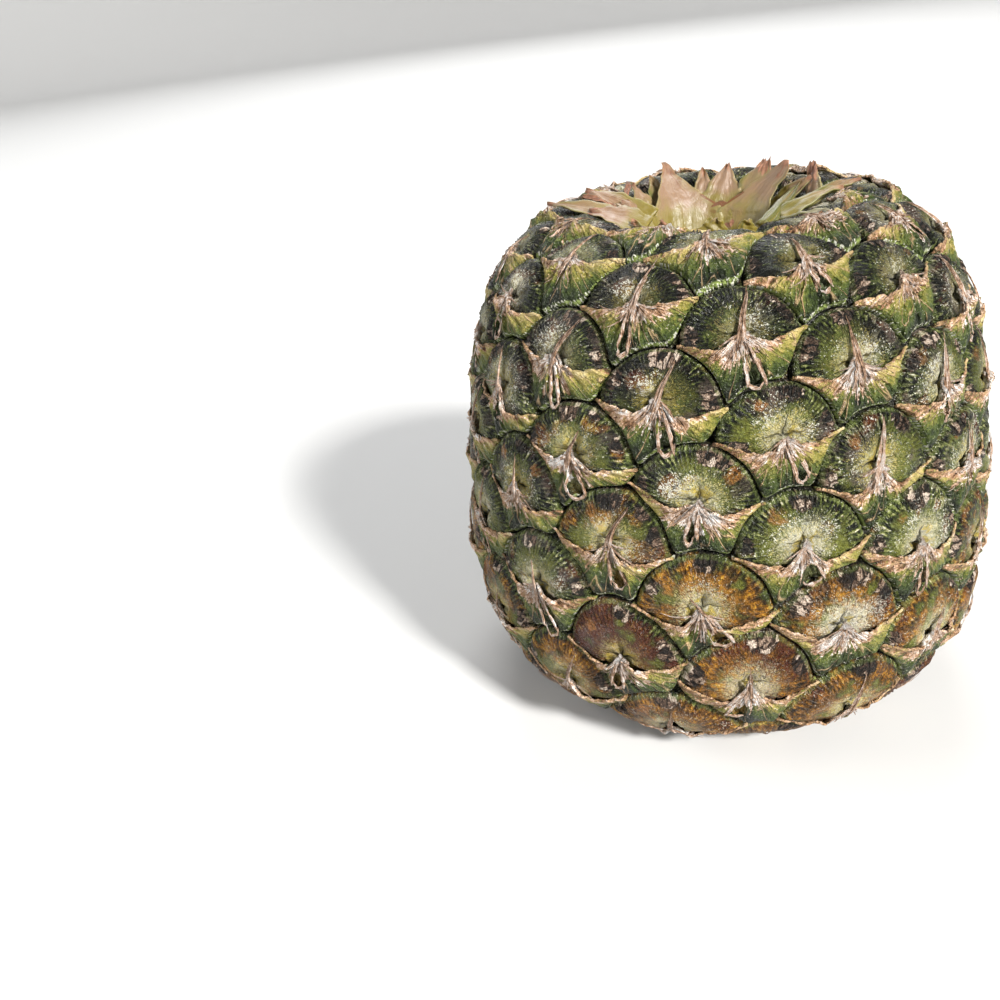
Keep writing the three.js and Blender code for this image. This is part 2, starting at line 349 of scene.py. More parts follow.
def makeOutline():                              # the barrel's side, and what is measured along it
    turn = np.linspace(-math.pi / 2, math.pi / 2, barrel["steps"] + 1)
    t = np.sign(turn) * np.abs(np.sin(turn)) ** (2 / barrel["lengthPower"])
    r = barrel["radius"] * np.abs(np.cos(turn)) ** (2 / barrel["cornerPower"]) * (1 - barrel["taper"] * t)
    r = np.maximum(r, barrel["leastRadius"])
    z = barrel["halfHeight"] * (1 + t) - barrel["sink"]
    for (radius, depth), side in ((barrel["topDip"], 1), (barrel["baseDip"], -1)):
        sunk = depth * np.maximum(0, 1 - (r / radius) ** 2) ** 1.5
        z = z - side * np.where(t * side > 0, sunk, 0)
    length = np.hypot(np.diff(r), np.diff(z))
    s = summed(length)
    low = smooth(*spiral["baseCorner"], -s)
    share = spiral["area"] * (1 - spiral["shrink"] * s) * (1 - spiral["baseShrink"] * low)
    crowd = full * r / share                    # eyes for each millimetre of the side
    n = summed(length * (crowd[1:] + crowd[:-1]) / 2)
    spread = np.log(r[1:] / r[:-1])
    flat = np.abs(spread) < 1e-9
    stretch = summed(np.where(flat, length / r[1:], length * spread / np.where(flat, 1, np.diff(r))))
    slope = unit(np.stack([np.gradient(r), np.gradient(z)], 1))
    return {"r": r, "z": z, "s": s, "n": n, "stretch": stretch, "out": slope[:, 1], "up": -slope[:, 0]}


outline = makeOutline()


def along(key, value, *wanted):
    found = [np.interp(value, outline[key], outline[name]) for name in wanted]
    return found if len(wanted) > 1 else found[0]


def toSphere(angle, stretch):                   # the barrel's skin maps to a ball, where cells are easy to cut
    latitude = np.arctan(np.sinh(stretch))
    return np.array([np.cos(latitude) * np.cos(angle), np.cos(latitude) * np.sin(angle), np.sin(latitude)])


def fromSphere(ways):                           # points of the barrel, and the way out of it there
    ways = unit(np.asarray(ways))
    stretch = np.arctanh(np.clip(ways[..., 2], -0.9999999, 0.9999999))
    angle = np.arctan2(ways[..., 1], ways[..., 0])
    r, z, out, up = along("stretch", stretch, "r", "z", "out", "up")
    return circled(r, angle, z), unit(circled(out, angle, up))


def makeEyes():
    first = math.ceil(outline["n"][0] - spiral["frontCount"])
    last = math.floor(outline["n"][-1] - spiral["frontCount"])
    eyes = []
    for index in range(first, last + 1):
        s, r, z = along("n", index + spiral["frontCount"], "s", "r", "z")
        if r < (spiral["topLimit"] if z > barrel["halfHeight"] else spiral["baseLimit"]):
            continue
        sideways, lift = strayed.get(index, (0, 0))
        s += lift
        r, z = along("s", s, "r", "z")
        angle = math.radians(spiral["frontAngle"] + spiral["divergence"] * index) + sideways / r
        navel = toSphere(angle, along("s", s, "stretch"))
        east = np.array([-math.sin(angle), math.cos(angle), 0])
        eyes.append({
            "index": index, "site": toSphere(angle, along("s", s - spiral["navelLift"], "stretch")),
            "navel": navel, "east": east, "north": np.cross(navel, east),
            "scale": r / math.hypot(navel[0], navel[1]), "z": z,
            "random": np.random.default_rng((spiral["seed"], index + spiral["firstSeed"])),
        })
    return eyes


def toLocal(eye, ways):                         # millimetres to the right of the navel and above it
    ways = np.asarray(ways)
    flat = ways / (ways @ eye["navel"])[..., None] * eye["scale"]
    return np.stack([flat @ eye["east"], flat @ eye["north"]], -1)


def fromLocal(eye, spots):
    spots = np.asarray(spots) / eye["scale"]
    return unit(eye["navel"] + spots[..., :1] * eye["east"] + spots[..., 1:] * eye["north"])


def makeCells(eyes):                            # the cells round the eyes, and the ring of corners that each has
    sites = [eye["site"] for eye in eyes]
    guards = {}                                 # sites that only close off the two scars
    quarter = barrel["steps"] // 4
    for end, rows in (("base", slice(0, quarter)), ("top", slice(-quarter, None))):
        row = np.argmin(np.abs(outline["r"][rows] - spiral[end + "Guard"]))
        for k in range(spiral["guards"]):
            guards[len(sites)] = end
            sites.append(toSphere(full * k / spiral["guards"], outline["stretch"][rows][row]))
    hull = bmesh.new()
    for site in sites:
        hull.verts.new(site)
    hull.verts.index_update()
    bmesh.ops.convex_hull(hull, input=hull.verts)
    corners, owners, around = [], [], [[] for _ in sites]
    for number, face in enumerate(hull.faces):
        ids = [vert.index for vert in face.verts]
        a, b, c = (sites[i] for i in ids)
        way = unit(np.cross(b - a, c - a))
        corners.append(way * np.sign(way @ a))
        owners.append(set(ids))
        for i in ids:
            around[i].append(number)
    hull.free()
    for me, eye in enumerate(eyes):
        spots = {number: toLocal(eye, corners[number]) for number in around[me]}
        eye["ring"] = sorted(around[me], key=lambda number: math.atan2(spots[number][1], spots[number][0]))
        eye["nextTo"] = [next(iter(owners[a] & owners[b] - {me})) for a, b in pairs(eye["ring"])]
    return sites, guards, corners


def makeSides():                                # each shared by two cells, and bowed towards the upper one
    sides = {}
    for me, eye in enumerate(eyes):
        for (a, b), other in zip(pairs(eye["ring"]), eye["nextTo"]):
            key = (min(a, b), max(a, b))
            if key in sides:
                continue
            start, end = corners[key[0]], corners[key[1]]
            long = np.linalg.norm(end - start)
            count = max(2, round(long * eye["scale"] / spiral["sideStep"]))
            share = np.linspace(0, 1, count + 1)[:, None]
            line = start + (end - start) * share
            if other not in guards:
                toward = sites[me] - sites[other]
                toward = toward * np.sign(toward[2])
                toward = unit(toward - start * (toward @ start))
                line = line + toward * np.sin(math.pi * share) * long * spiral["arch"]
            sides[key] = unit(line)
    return sides


eyes = makeEyes()
sites, guards, corners = makeCells(eyes)
sides = makeSides()
print("eyes", len(eyes))

# Each eye's own shape: its bract's upper edge, its torn window and its spine

bractPlan = {
    "usualArea": 460.0,                         # of the box round a cell of size 1
    "lean": 0.6,                                # how far the edge's peak may sit to either side
    "sag": (1.5, 2.4),                          # how far the edge hangs between the navel and a wing's tip
    "sagShape": (0.62, 1.2),
    "peak": (0.3, 1.5),                         # how far it climbs towards the navel
    "peakWidth": 2.1,
    "wobble": ((0.16, 2.3), (0.096, 4.9)),      # height, and waves in a width of 2 pi
    "windowShare": 0.6,
    "windowX": (1.4, 1.3),                      # middle and spread
    "windowY": (-6.0, 0.7),
    "windowSize": ((0.8, 1.5), (1.5, 2.5)),
    "spineShare": 0.75,
    "spineLean": (-12, 22),
    "spineLength": (3.5, 8.5),
    "ripeHeight": (20, 58),                     # ripe below the first height, fresh above the second
    "ripeSpread": 7,
    "ripe": (0.6, 1),
    "pale": (0.2, 0.75),
    "red": (0, 0.6),
    "corkSpots": ((88, 0.84, 2.6, 0.75), (18, 0.84, 2.0, 0.6), (165, 0.84, 2.2, 0.6), (52, 0.86, 1.6, 0.3)),
    "rustSpots": ((132, 0.68, 1.7, 0.4), (40, 0.7, 1.4, 0.2)),   # direction, share of the way out, radius, chance
    "spotTurn": 12,
    "spotSize": (0.7, 1.2),
}
# Eyes that differ from the plan: window (x, y, half width, half height), spine (lean, length), and how ripe
# or pale they are
chosen = {
    0: {"window": (3.0, -6.3, 0.9, 2.0), "spine": None, "peak": 0.4, "pale": 0.6},
    7: {"window": (1.6, -7.0, 1.2, 2.3), "spine": (18, 6.5), "pale": 0.0},
    18: {"window": (2.4, -6.8, 1.3, 2.1), "spine": (14, 8.0), "pale": 0.35},
    25: {"window": (-0.8, -6.4, 1.0, 2.5), "spine": (10, 9.0), "pale": 0.15},
    11: {"window": None, "spine": (-2, 7.5), "pale": 0.6},
    -11: {"window": (-1.2, -5.6, 0.8, 2.0), "spine": None, "peak": 0.6, "pale": 0.6, "ripe": 0.15},
    -18: {"window": (1.6, -5.4, 1.5, 1.6), "spine": None, "peak": 0.8, "pale": 0.85, "ripe": 0.1},
    -22: {"pale": 0.4, "ripe": 0.45},
    -25: {"pale": 0.95, "ripe": 0.1},
    -29: {"window": (3.0, -4.9, 1.6, 1.3), "spine": (-40, 2.5), "pale": 0.4, "ripe": 0.75},
    -36: {"window": None, "spine": None, "pale": 0.95, "ripe": 0.75},
    -40: {"window": (-1.0, -5.0, 1.0, 1.6), "spine": None, "pale": 0.0, "ripe": 0.55, "red": 0.80},
    -43: {"pale": 0.7, "ripe": 0.6},
    -47: {"window": (-1.6, -5.6, 1.5, 1.1), "spine": (8, 3.5), "pale": 0.55, "ripe": 1.0, "red": 0.45},
    -4: {"window": (1.3, -5.8, 1.8, 2.0), "spine": (14, 4.5), "ripe": 0.25},
    14: {"window": (1.4, -6.6, 0.8, 2.4), "spine": (12, 7.5)},
    -7: {"window": None, "spine": (16, 7.5), "pale": 0.45},
    4: {"pale": 0.8},
    29: {"window": (1.9, -5.4, 1.0, 1.6), "spine": (4, 5.0)},
    36: {"window": None, "spine": (4, 6.0)},
}


def edgeOf(left, right, lean, sag, peak, wave):   # a bract's free edge, over the cell's width
    rise = (right[1] - left[1]) / (right[0] - left[0])
    middle = left[1] + rise * (lean - left[0])

    def upperEdge(x):
        x = np.asarray(x, float)
        away = np.where(x < lean, (x - lean) / (left[0] - lean), (x - lean) / (right[0] - lean))
        away = np.clip(away, 0, 1)
        bow, sharp = bractPlan["sagShape"]
        drop = np.where(x < lean, sag[0], sag[1]) * np.sin(math.pi * away ** bow) ** sharp
        climb = (peak - middle) * np.exp(-(np.abs(x - lean) / bractPlan["peakWidth"]) ** 1.5)
        wobble = sum(high * np.sin(count * x + turn) for (high, count), turn in zip(bractPlan["wobble"], wave))
        return left[1] + rise * (x - left[0]) - drop + climb + wobble * (1 - away ** 6)
    return upperEdge


def planEye(eye):
    random, own = eye["random"], chosen.get(eye["index"], {})
    loop = [(sides[a, b] if a < b else sides[b, a][::-1])[:-1] for a, b in pairs(eye["ring"])]
    spots = eye["outlineXY"] = toLocal(eye, np.concatenate(loop))
    size = eye["size"] = math.sqrt(np.ptp(spots[:, 0]) * np.ptp(spots[:, 1]) / bractPlan["usualArea"])
    eye["tips"] = left, right = spots[np.argmin(spots[:, 0])], spots[np.argmax(spots[:, 0])]
    sag = random.uniform(*bractPlan["sag"], 2) * size
    peak = own.get("peak", random.uniform(*bractPlan["peak"])) * size
    lean = random.uniform(-bractPlan["lean"], bractPlan["lean"])
    eye["upperEdge"] = edgeOf(left, right, lean, sag, peak, random.uniform(0, 6.28, 3))
    window = spine = None
    if random.random() < bractPlan["windowShare"]:
        window = [middle + spread * random.normal()
                  for middle, spread in (bractPlan["windowX"], bractPlan["windowY"])]
        window += [random.uniform(*limits) for limits in bractPlan["windowSize"]]
    if random.random() < bractPlan["spineShare"]:
        spine = (random.uniform(*bractPlan["spineLean"]), random.uniform(*bractPlan["spineLength"]))
    window, spine = own.get("window", window), own.get("spine", spine)
    eye["window"] = window and tuple(value * size for value in window)
    eye["spine"] = spine and (spine[0], spine[1] * size)
    eye["luck"] = random.uniform(0, 1, 3)
    low = 1 - float(smooth(*bractPlan["ripeHeight"], eye["z"] + bractPlan["ripeSpread"] * random.normal()))
    eye["tone"] = (own.get("ripe", low * random.uniform(*bractPlan["ripe"])),
                   own.get("pale", random.uniform(*bractPlan["pale"])),
                   own.get("red", random.uniform(*bractPlan["red"]) * low))
    reach, turns = np.linalg.norm(spots, axis=1), np.arctan2(spots[:, 1], spots[:, 0])
    order = np.argsort(turns)
    eye["spots"] = []
    for kind in ("cork", "rust"):
        for bearing, out, radius, chance in bractPlan[kind + "Spots"]:
            if random.random() < chance:
                turn = math.radians(bearing + random.normal(0, bractPlan["spotTurn"]))
                away = np.interp(turn, turns[order], reach[order], period=full) * out
                spread = radius * size * random.uniform(*bractPlan["spotSize"])
                eye["spots"].append((kind, away * math.cos(turn), away * math.sin(turn), turn, spread))


for eye in eyes:
    planEye(eye)

# The rind: a furrow round each eye, a dome above its navel and a seat for its bract below

rindPlan = {
    "rings": (((0.985, 0.95, 0.90, 0.83, 0.75, 0.66, 0.57), 1),   # shares of the way out, and spokes skipped
              ((0.46, 0.34), 2), ((0.22, 0.1), 4)),
    "domeTurn": (-15, 195),
    "seatTurn": (195, 345),
    "domeSpokes": 72,
    "seatSpokes": 16,
    "pleatFade": (0.5, 0.72),
    "seatEdge": (-0.1, 1.0),
    "spotEdge": (0.55, 1.25),
    "spotSquash": 0.85,
    "scars": {"top": ((21.5, 112.6), (18.6, 113.4), (17.6, 112.4), (17.5, 101.0)),   # radius and height
              "base": ((18.0, 1.2), (13.9, 1.6), (13.8, 9.6))},
    "scarAround": 96,
    "scarRipple": ((0.25, 9, 0), (0.2, 23, 1)),  # height, waves and start, on the rings wider than the opening
    "opening": 18,
    "relief": {
        "furrowDepth": 3.0, "crestHeight": -0.15, "pillowHeight": 0.9, "navelDepth": 1.5, "seatDepth": 1.5,
        "pleatDepth": 0.30, "wrinkleHeight": 0.30, "lobeDepth": 0.85, "lumpHeight": 0.7, "flakeHeight": 0.6,
    },
}


class Shell:                                    # collects rings of points and the faces between them
    def __init__(self):
        self.points, self.out, self.data, self.faces = [], [], [], []

    def ring(self, points, out, data):
        start = len(self.points)
        self.points.extend(points)
        self.out.extend(out)
        self.data.extend(data)
        return list(range(start, start + len(points)))

    def band(self, outer, inner):               # rings with as many points, anticlockwise seen from outside
        self.faces += [(a, b, d, c) for (a, b), (c, d) in zip(pairs(outer), pairs(inner))]

    def zip(self, outer, outerTurn, inner, innerTurn):   # rings with other counts, matched by their bearings
        i = j = 0
        count, others = len(outer), len(inner)
        while i < count or j < others:
            nextOuter = outerTurn[(i + 1) % count] + (full if i + 1 >= count else 0)
            nextInner = innerTurn[(j + 1) % others] + (full if j + 1 >= others else 0)
            if j >= others or (i < count and nextOuter <= nextInner):
                self.faces.append((outer[i % count], outer[(i + 1) % count], inner[j % others]))
                i += 1
            else:
                self.faces.append((outer[i % count], inner[(j + 1) % others], inner[j % others]))
                j += 1

    def fan(self, ring, middle):
        self.faces += [(a, b, middle) for a, b in pairs(ring)]


def spotMasks(eye, at):                         # where an eye is corky or rusty
    masks = {"cork": np.zeros(len(at)), "rust": np.zeros(len(at))}
    for kind, x, y, turn, size in eye["spots"]:
        ahead, aside = (math.cos(turn), math.sin(turn)), (-math.sin(turn), math.cos(turn))
        outward, around = ((at - (x, y)) @ way for way in (ahead, aside))
        apart = np.hypot(outward / rindPlan["spotSquash"], around) / size
        masks[kind] = np.maximum(masks[kind], 1 - smooth(*rindPlan["spotEdge"], apart))
    return masks["cork"], masks["rust"]


def makeDome(shell, eye, ids, ways, spokes, pleats):
    spots = toLocal(eye, np.array(ways))
    turn = np.arctan2(spots[:, 1], spots[:, 0])
    turn = np.where(turn < spokes[0], turn + full, turn)
    order = np.argsort(turn)
    last, lastTurn = ids, turn = [ids[i] for i in order], turn[order]
    reach = np.tile(np.linalg.norm(spots[order], axis=1), 3)
    wideTurn = np.concatenate([turn - full, turn, turn + full])
    for rims, skip in rindPlan["rings"]:
        angles = spokes[::skip]
        edge = np.interp(angles, wideTurn, reach)
        folds = pleats if skip == 1 else 0 * angles
        for rim in rims:
            at = np.stack([np.cos(angles), np.sin(angles)], 1) * (edge * rim)[:, None]
            under = smooth(*rindPlan["seatEdge"], eye["upperEdge"](at[:, 0]) - at[:, 1])
            fade = folds * smooth(*rindPlan["pleatFade"], rim) * (1 - under)
            same = (value + 0 * angles for value in (eye["luck"][0], *eye["tone"]))
            data = np.stack([*at.T, rim + 0 * angles, under, fade, *same, *spotMasks(eye, at)], 1)
            now = shell.ring(*fromSphere(fromLocal(eye, at)), data)
            if len(now) == len(last) and last is not ids:
                shell.band(last, now)
            else:
                shell.zip(last, lastTurn, now, angles)
            last, lastTurn = now, angles
    navel = shell.ring(*fromSphere(eye["navel"][None]), [(0, 0, 0, 0, 0, eye["luck"][0], *eye["tone"], 0, 0)])
    shell.fan(last, navel[0])


def makeScar(shell, found, rings, order):       # the rings whose middle the cup or the stalk fills
    scar = (5, 0, 0.7, 0, 0, 0.5, 0.5, 0.3, 0.1, 0, 0.3)
    found = sorted(found.items(), key=lambda item: math.atan2(item[1][1], item[1][0]))
    last, lastTurn = [one for one, _ in found], [math.atan2(way[1], way[0]) for _, way in found]
    count = rindPlan["scarAround"]
    angles = np.linspace(-math.pi, math.pi, count, endpoint=False)
    ripple = sum(high * np.sin(angles * waves + start) for high, waves, start in rindPlan["scarRipple"])
    before = len(shell.faces)
    for number, (radius, height) in enumerate(rings):
        points = circled(radius + ripple * (radius > rindPlan["opening"]), angles, height)
        now = shell.ring(points, np.zeros((count, 3)), [scar] * count)
        if number:
            shell.band(last, now)
        else:
            shell.zip(last, lastTurn, now, angles)
        last = now
    shell.fan(last, shell.ring([(0, 0, rings[-1][1])], [(0, 0, 0)], [scar])[0])
    shell.faces[before:] = [face[::order] for face in shell.faces[before:]]


def makeRind():
    shell, known = Shell(), {}
    blank = (0, 0, 1, 0, 0, 0.5, 0, 0.3, 0, 0, 0)

    def shared(key, way):
        if key not in known:
            known[key] = shell.ring(*fromSphere(way[None]), [blank])[0]
        return known[key]

    dense, sparse = (np.radians(np.linspace(*rindPlan[part + "Turn"], rindPlan[part + "Spokes"], endpoint=False))
                     for part in ("dome", "seat"))
    pleats = np.concatenate([np.tile([1, -1], len(dense) // 2), np.zeros(len(sparse))])
    gaps = {"top": {}, "base": {}}
    for eye in eyes:
        ids, ways = [], []
        for (a, b), other in zip(pairs(eye["ring"]), eye["nextTo"]):
            key = (min(a, b), max(a, b))
            line = sides[key]
            names = [("corner", key[0])] + [(key, i) for i in range(1, len(line) - 1)] + [("corner", key[1])]
            if a > b:
                line, names = line[::-1], names[::-1]
            found = [shared(name, way) for name, way in zip(names, line)]
            ids += found[:-1]
            ways += list(line[:-1])
            if other in guards:
                gaps[guards[other]].update(zip(found, line))
        makeDome(shell, eye, ids, ways, np.concatenate([dense, sparse]), pleats)
    makeScar(shell, gaps["top"], rindPlan["scars"]["top"], 1)
    makeScar(shell, gaps["base"], rindPlan["scars"]["base"], -1)
    data = np.array(shell.data)
    layers = {"eyeXY": np.concatenate([data[:, :2], np.zeros((len(data), 1))], 1), "tone": data[:, 6:9],
              "outward": np.array(shell.out)}
    for column, key in ((2, "rim"), (3, "under"), (4, "pleat"), (5, "luck"), (9, "cork"), (10, "rust")):
        layers[key] = data[:, column]
    return makeMesh("rind", shell.points, shell.faces, layers)


def reliefTree(material):
    tree, given = openTree("eyeRelief", rindPlan["relief"])
    start = given["Geometry"]
    rim, under, pleat, cork = named(start, "rim", "under", "pleat", "cork")
    out, xy = named(start, "outward", "eyeXY", kind="FLOAT_VECTOR")
    place = start.node("GeometryNodeInputPosition")
    wrinkles, lumps, flakes = place.noise(520.0, 3.0), place.noise(190.0, 1.0), place.noise(760.0, 1.0)
    pleats, sway = place.noise(160.0, 1.0), place.noise(220.0, 1.0)
    drop = 1 - (1 - rim ** 10) ** 0.5
    dome = given["crestHeight"] - (given["furrowDepth"] + given["crestHeight"]) * drop
    dome = dome + given["pillowHeight"] * (1 - rim ** 2) - given["navelDepth"] * (1 - rim.step(0.0, 0.42)) ** 2
    seat = -1 * given["seatDepth"] - (given["furrowDepth"] - given["seatDepth"]) * rim ** 4
    high = dome + (seat - dome) * under + pleat * given["pleatDepth"] * pleats.step(0.0, 0.8)
    high = high + (wrinkles - 0.5) * given["wrinkleHeight"] * (1 - rim ** 8)
    x, y, _ = xy.parts()
    reach = (x * x + y * y) ** 0.5
    turn = x.math("ARCTAN2", y) + (sway - 0.5) * 0.5
    valley = reach * 0
    for bearing, _ in skin["creases"]:
        valley = valley.math("MAXIMUM", (turn - bearing).math("COSINE").math("MAXIMUM", 0.0) ** 16.0)
    valley = valley * reach.step(0.4, 1.4) * (1 - reach.step(2.8, 7.0))
    high = high - valley * given["lobeDepth"] * (1 - under)
    high = high + (lumps - 0.5) * given["lumpHeight"] * (1 - rim ** 6) + cork * (flakes - 0.3) * given["flakeHeight"]
    moved = start.node("GeometryNodeSetPosition", {}, {"Geometry": start, "Offset": out.scaled(high * mm)})
    return closeTree(tree, moved, material)


# The paints: each has marks, noises from 0 to 1, that move a level or a patch's edge about its middle

class Marks:                                    # a material, with the marks and attributes that its paint uses
    def __init__(self, name, numbers=(), vectors=()):
        self.paint = bpy.data.materials.new(name)
        self.paint.use_nodes = True
        self.shader = self.paint.node_tree.nodes["Principled BSDF"]
        start = Wire(self.paint.node_tree, None)
        self.place = start.node("ShaderNodeTexCoord", {}, {}, 3)
        self.x, self.y, self.high = self.place.parts()
        for keys, out in ((numbers, 2), (vectors, 1)):
            for key in keys:
                setattr(self, key, start.node("ShaderNodeAttribute", {"attribute_name": key}, {}, out))

    def add(self, source, **noises):            # each as scale, detail and roughness
        for name, sizes in noises.items():
            setattr(self, name, source.noise(*sizes))

    def swing(self, level, **shares):           # each mark moves the level by up to half its share either way
        for name, share in shares.items():
            level = (getattr(self, name) - 0.5) * share + level
        return level

    def line(self, name, low, high):            # thin lines where a mark crosses its middle
        return 1 - abs(getattr(self, name) - 0.5).step(low, high)

    def lay(self, share, color):                # over the colour so far
        self.color = share.mix(self.color, color)

    def finish(self, rough, height, depth, **constants):
        bump = height.node("ShaderNodeBump", {}, {"Strength": 1.0, "Distance": depth, "Height": height})
        for key, wire in (("Base Color", self.color), ("Roughness", rough), ("Normal", bump)):
            wire.tree.links.new(wire.socket, self.shader.inputs[key])
        for key, value in constants.items():
            self.shader.inputs[key.replace("_", " ")].default_value = value
        return self.paint


speck = {"grain": (1500.0, 2.0, 0.6), "dust": (3300.0, 1.0, 0.6)}
skin = {                                        # the rind's colours
    "scale": ((0.0, (0.004, 0.005, 0.003)), (0.15, (0.020, 0.025, 0.008)), (0.32, (0.061, 0.080, 0.018)),
              (0.52, (0.158, 0.182, 0.042)), (0.72, (0.36, 0.36, 0.15)), (0.88, (0.66, 0.63, 0.38)),
              (1.0, (0.92, 0.89, 0.72))),
    "dullScale": ((0.0, (0.005, 0.005, 0.004)), (0.15, (0.026, 0.024, 0.016)), (0.32, (0.084, 0.077, 0.047)),
                  (0.52, (0.175, 0.163, 0.106)), (0.72, (0.33, 0.325, 0.235)), (0.88, (0.58, 0.57, 0.47)),
                  (1.0, (0.86, 0.85, 0.80))),
    "ripeScale": ((0.0, (0.012, 0.006, 0.003)), (0.15, (0.055, 0.024, 0.006)), (0.32, (0.160, 0.068, 0.010)),
                  (0.52, (0.42, 0.182, 0.014)), (0.72, (0.66, 0.39, 0.05)), (0.88, (0.82, 0.68, 0.38)),
                  (1.0, (0.95, 0.90, 0.74))),
    "corkScale": ((0.0, (0.006, 0.004, 0.003)), (0.30, (0.040, 0.024, 0.016)), (0.52, (0.135, 0.078, 0.052)),
                  (0.72, (0.40, 0.28, 0.20)), (1.0, (0.78, 0.64, 0.52))),
    "navel": ((0.0, (0.30, 0.26, 0.06)), (0.35, (0.62, 0.52, 0.16)), (0.65, (0.85, 0.79, 0.50)),
              (1.0, (0.96, 0.94, 0.84))),
    "lime": (0.20, 0.21, 0.030),
    "red": (0.085, 0.019, 0.009),
    "bloom": (0.82, 0.81, 0.69),
    "yellow": (0.70, 0.52, 0.05),
    "rust": (0.34, 0.140, 0.032),
    "bruise": (0.105, 0.078, 0.062),
    # near black: painted shade for the furrows, the cracks, the navel's creases and the fold under each bract's lip
    "furrow": (0.006, 0.009, 0.004),
    "lip": (0.20, 0.25, 0.07),
    "creases": ((0.1, 5.5), (1.42, 6.5), (-1.5, 6.0)),   # bearing from the crown's way, and length
    "bumpDepth": 0.0014,
}


def paintRind():
    m = Marks("rindSkin", ("rim", "luck", "pleat", "cork", "rust"), ("eyeXY", "tone"))
    rim, luck, (x, y, _), (ripe, pale, red) = m.rim, m.luck, m.eyeXY.parts(), m.tone.parts()
    reach = (x * x + y * y) ** 0.5
    outX, outY = x / reach * 6.0, y / reach * 6.0
    m.add(joined(outX, outY, reach * 0.3 + luck * 37.0), streak=(1.9, 2.0, 0.6), fineStreak=(5.5, 2.0, 0.6))
    m.add(joined(x + luck * 97.0, y, luck * 53.0), sideways=(0.09, 1.0), blot=(0.24, 2.0), mottle=(0.7, 3.0, 0.6),
          bruise=(0.13, 1.0), gold=(0.55, 2.0), fissure=(0.5, 2.0), kink=(0.35, 1.0))
    m.add(m.place, **speck)
    m.pale, grain, dust, mottle, blot = pale, m.grain, m.dust, m.mottle, m.blot
    shoulder = (m.high + (luck - 0.5) * 0.016).step(0.080, 0.108)
    margin = m.swing(rim, blot=0.3).step(0.52, 0.84)
    centre = 1 - m.swing(rim, fineStreak=0.4, blot=0.25).step(0.05, 0.62)
    # how light the scale is, from black to bloomed
    level = m.swing(0.29, mottle=0.66, blot=0.36, grain=0.36, pale=0.18, luck=0.08,
                    streak=margin * (blot + m.sideways) * 0.76 + 0.12, fineStreak=margin * blot * 0.3 + 0.18)
    # the pleats' raised sides are painted lighter and their sunken sides darker: painted light and shade over the
    # relief's pleats
    level = level + m.pleat * (m.streak * 0.20 + 0.10) + centre * (pale * 0.26 + 0.20)
    level = level - margin * (ripe * 0.04 + 0.06) - shoulder * 0.15
    # green, dull, lime and ripe scales
    grey = m.swing(m.sideways * 0.9 + shoulder * 0.2 - 0.12 - ripe * 0.4, mottle=0.5).step(0.42, 0.95)
    m.color = grey.mix(level.ramp(skin["scale"]), level.ramp(skin["dullScale"]))
    lime = (1 - m.swing(m.sideways, blot=0.6).step(0.2, 0.6)) * (1 - margin) * rim.step(0.15, 0.35)
    lime = lime * m.swing(0.62, grain=-0.5, fineStreak=-0.5, mottle=-0.5) * (1 - shoulder)
    m.lay(lime, skin["lime"])
    warm = m.swing(level * 0.34 + 0.2708 + centre * 0.10, blot=0.40, mottle=0.22).ramp(skin["ripeScale"])
    ripened = m.swing(ripe * 1.2 - rim.step(0.80, 0.97) * 0.35, blot=1.0, sideways=0.6)
    m.lay(ripened.step(0.35, 0.85), warm)
    # scorch, bruises, rust and cork
    scorch = m.swing(red, blot=1.1, sideways=0.8).step(0.22, 0.75) * rim.step(0.10, 0.40)
    m.lay(scorch * (1 - m.fineStreak * mottle * 0.6), skin["red"])
    bruise = m.swing(m.bruise + m.cork * 0.3, mottle=0.4, grain=0.2).step(0.72, 1.02)
    m.lay(bruise * (0.85 - ripe * 0.6) * m.swing(0.9, fineStreak=-0.5, grain=-0.5), skin["bruise"])
    rust = m.swing(m.rust * 1.1, mottle=1.1, blot=0.9, grain=0.3).step(0.35, 1.3) * 0.75
    m.lay(rust * (1 - shoulder * 0.6), skin["rust"])
    cork = m.swing(m.cork, mottle=0.8, streak=0.4, grain=0.2).step(0.40, 0.54)
    chip = joined(outX, outY, reach * 0.42 + mottle + luck * 31.0)
    # the cracks between the cork's chunks are painted near black: painted shade in the cracks
    crack = 1 - chip.cells(0.95, "DISTANCE_TO_EDGE").step(0.03, 0.16)
    m.chunk = chip.cells(0.95, "F1", 1).parts()[0]
    crust = m.swing(0.52 - crack * 0.50, chunk=0.95, fineStreak=0.35, grain=0.25, dust=0.25, luck=0.2)
    m.lay(cork * 0.95, crust.ramp(skin["corkScale"]))
    # bloom, and the pale star round the navel
    bloom = m.swing(0.5 + pale * 0.12 - margin * 0.12 + centre * 0.12, sideways=0.16, blot=0.34,
                    dust=0.36, grain=0.34, fineStreak=0.3).step(0.70, 0.82)
    m.lay(bloom * (0.90 - cork * 0.4 - red * 0.5 - ripe * 0.4), skin["bloom"])
    star = 1 - m.swing(reach, fineStreak=6.5, mottle=3.5, dust=1.0).step(2.6, 4.8 + pale * 1.6 + ripe * 1.4)
    star = star * (1 - red * 0.5)
    glow = m.swing(0.32 + pale * 0.42 + ripe * 0.18, fineStreak=0.5, streak=0.3, dust=0.3, mottle=0.4)
    m.lay(star * (0.92 - shoulder * 0.5), glow.ramp(skin["navel"]))
    gold = m.gold.step(0.52, 0.72) * (1 - m.swing(reach, fineStreak=3.0).step(2.4, 4.6))
    m.lay(gold * 0.75 * (1 - shoulder), skin["yellow"])
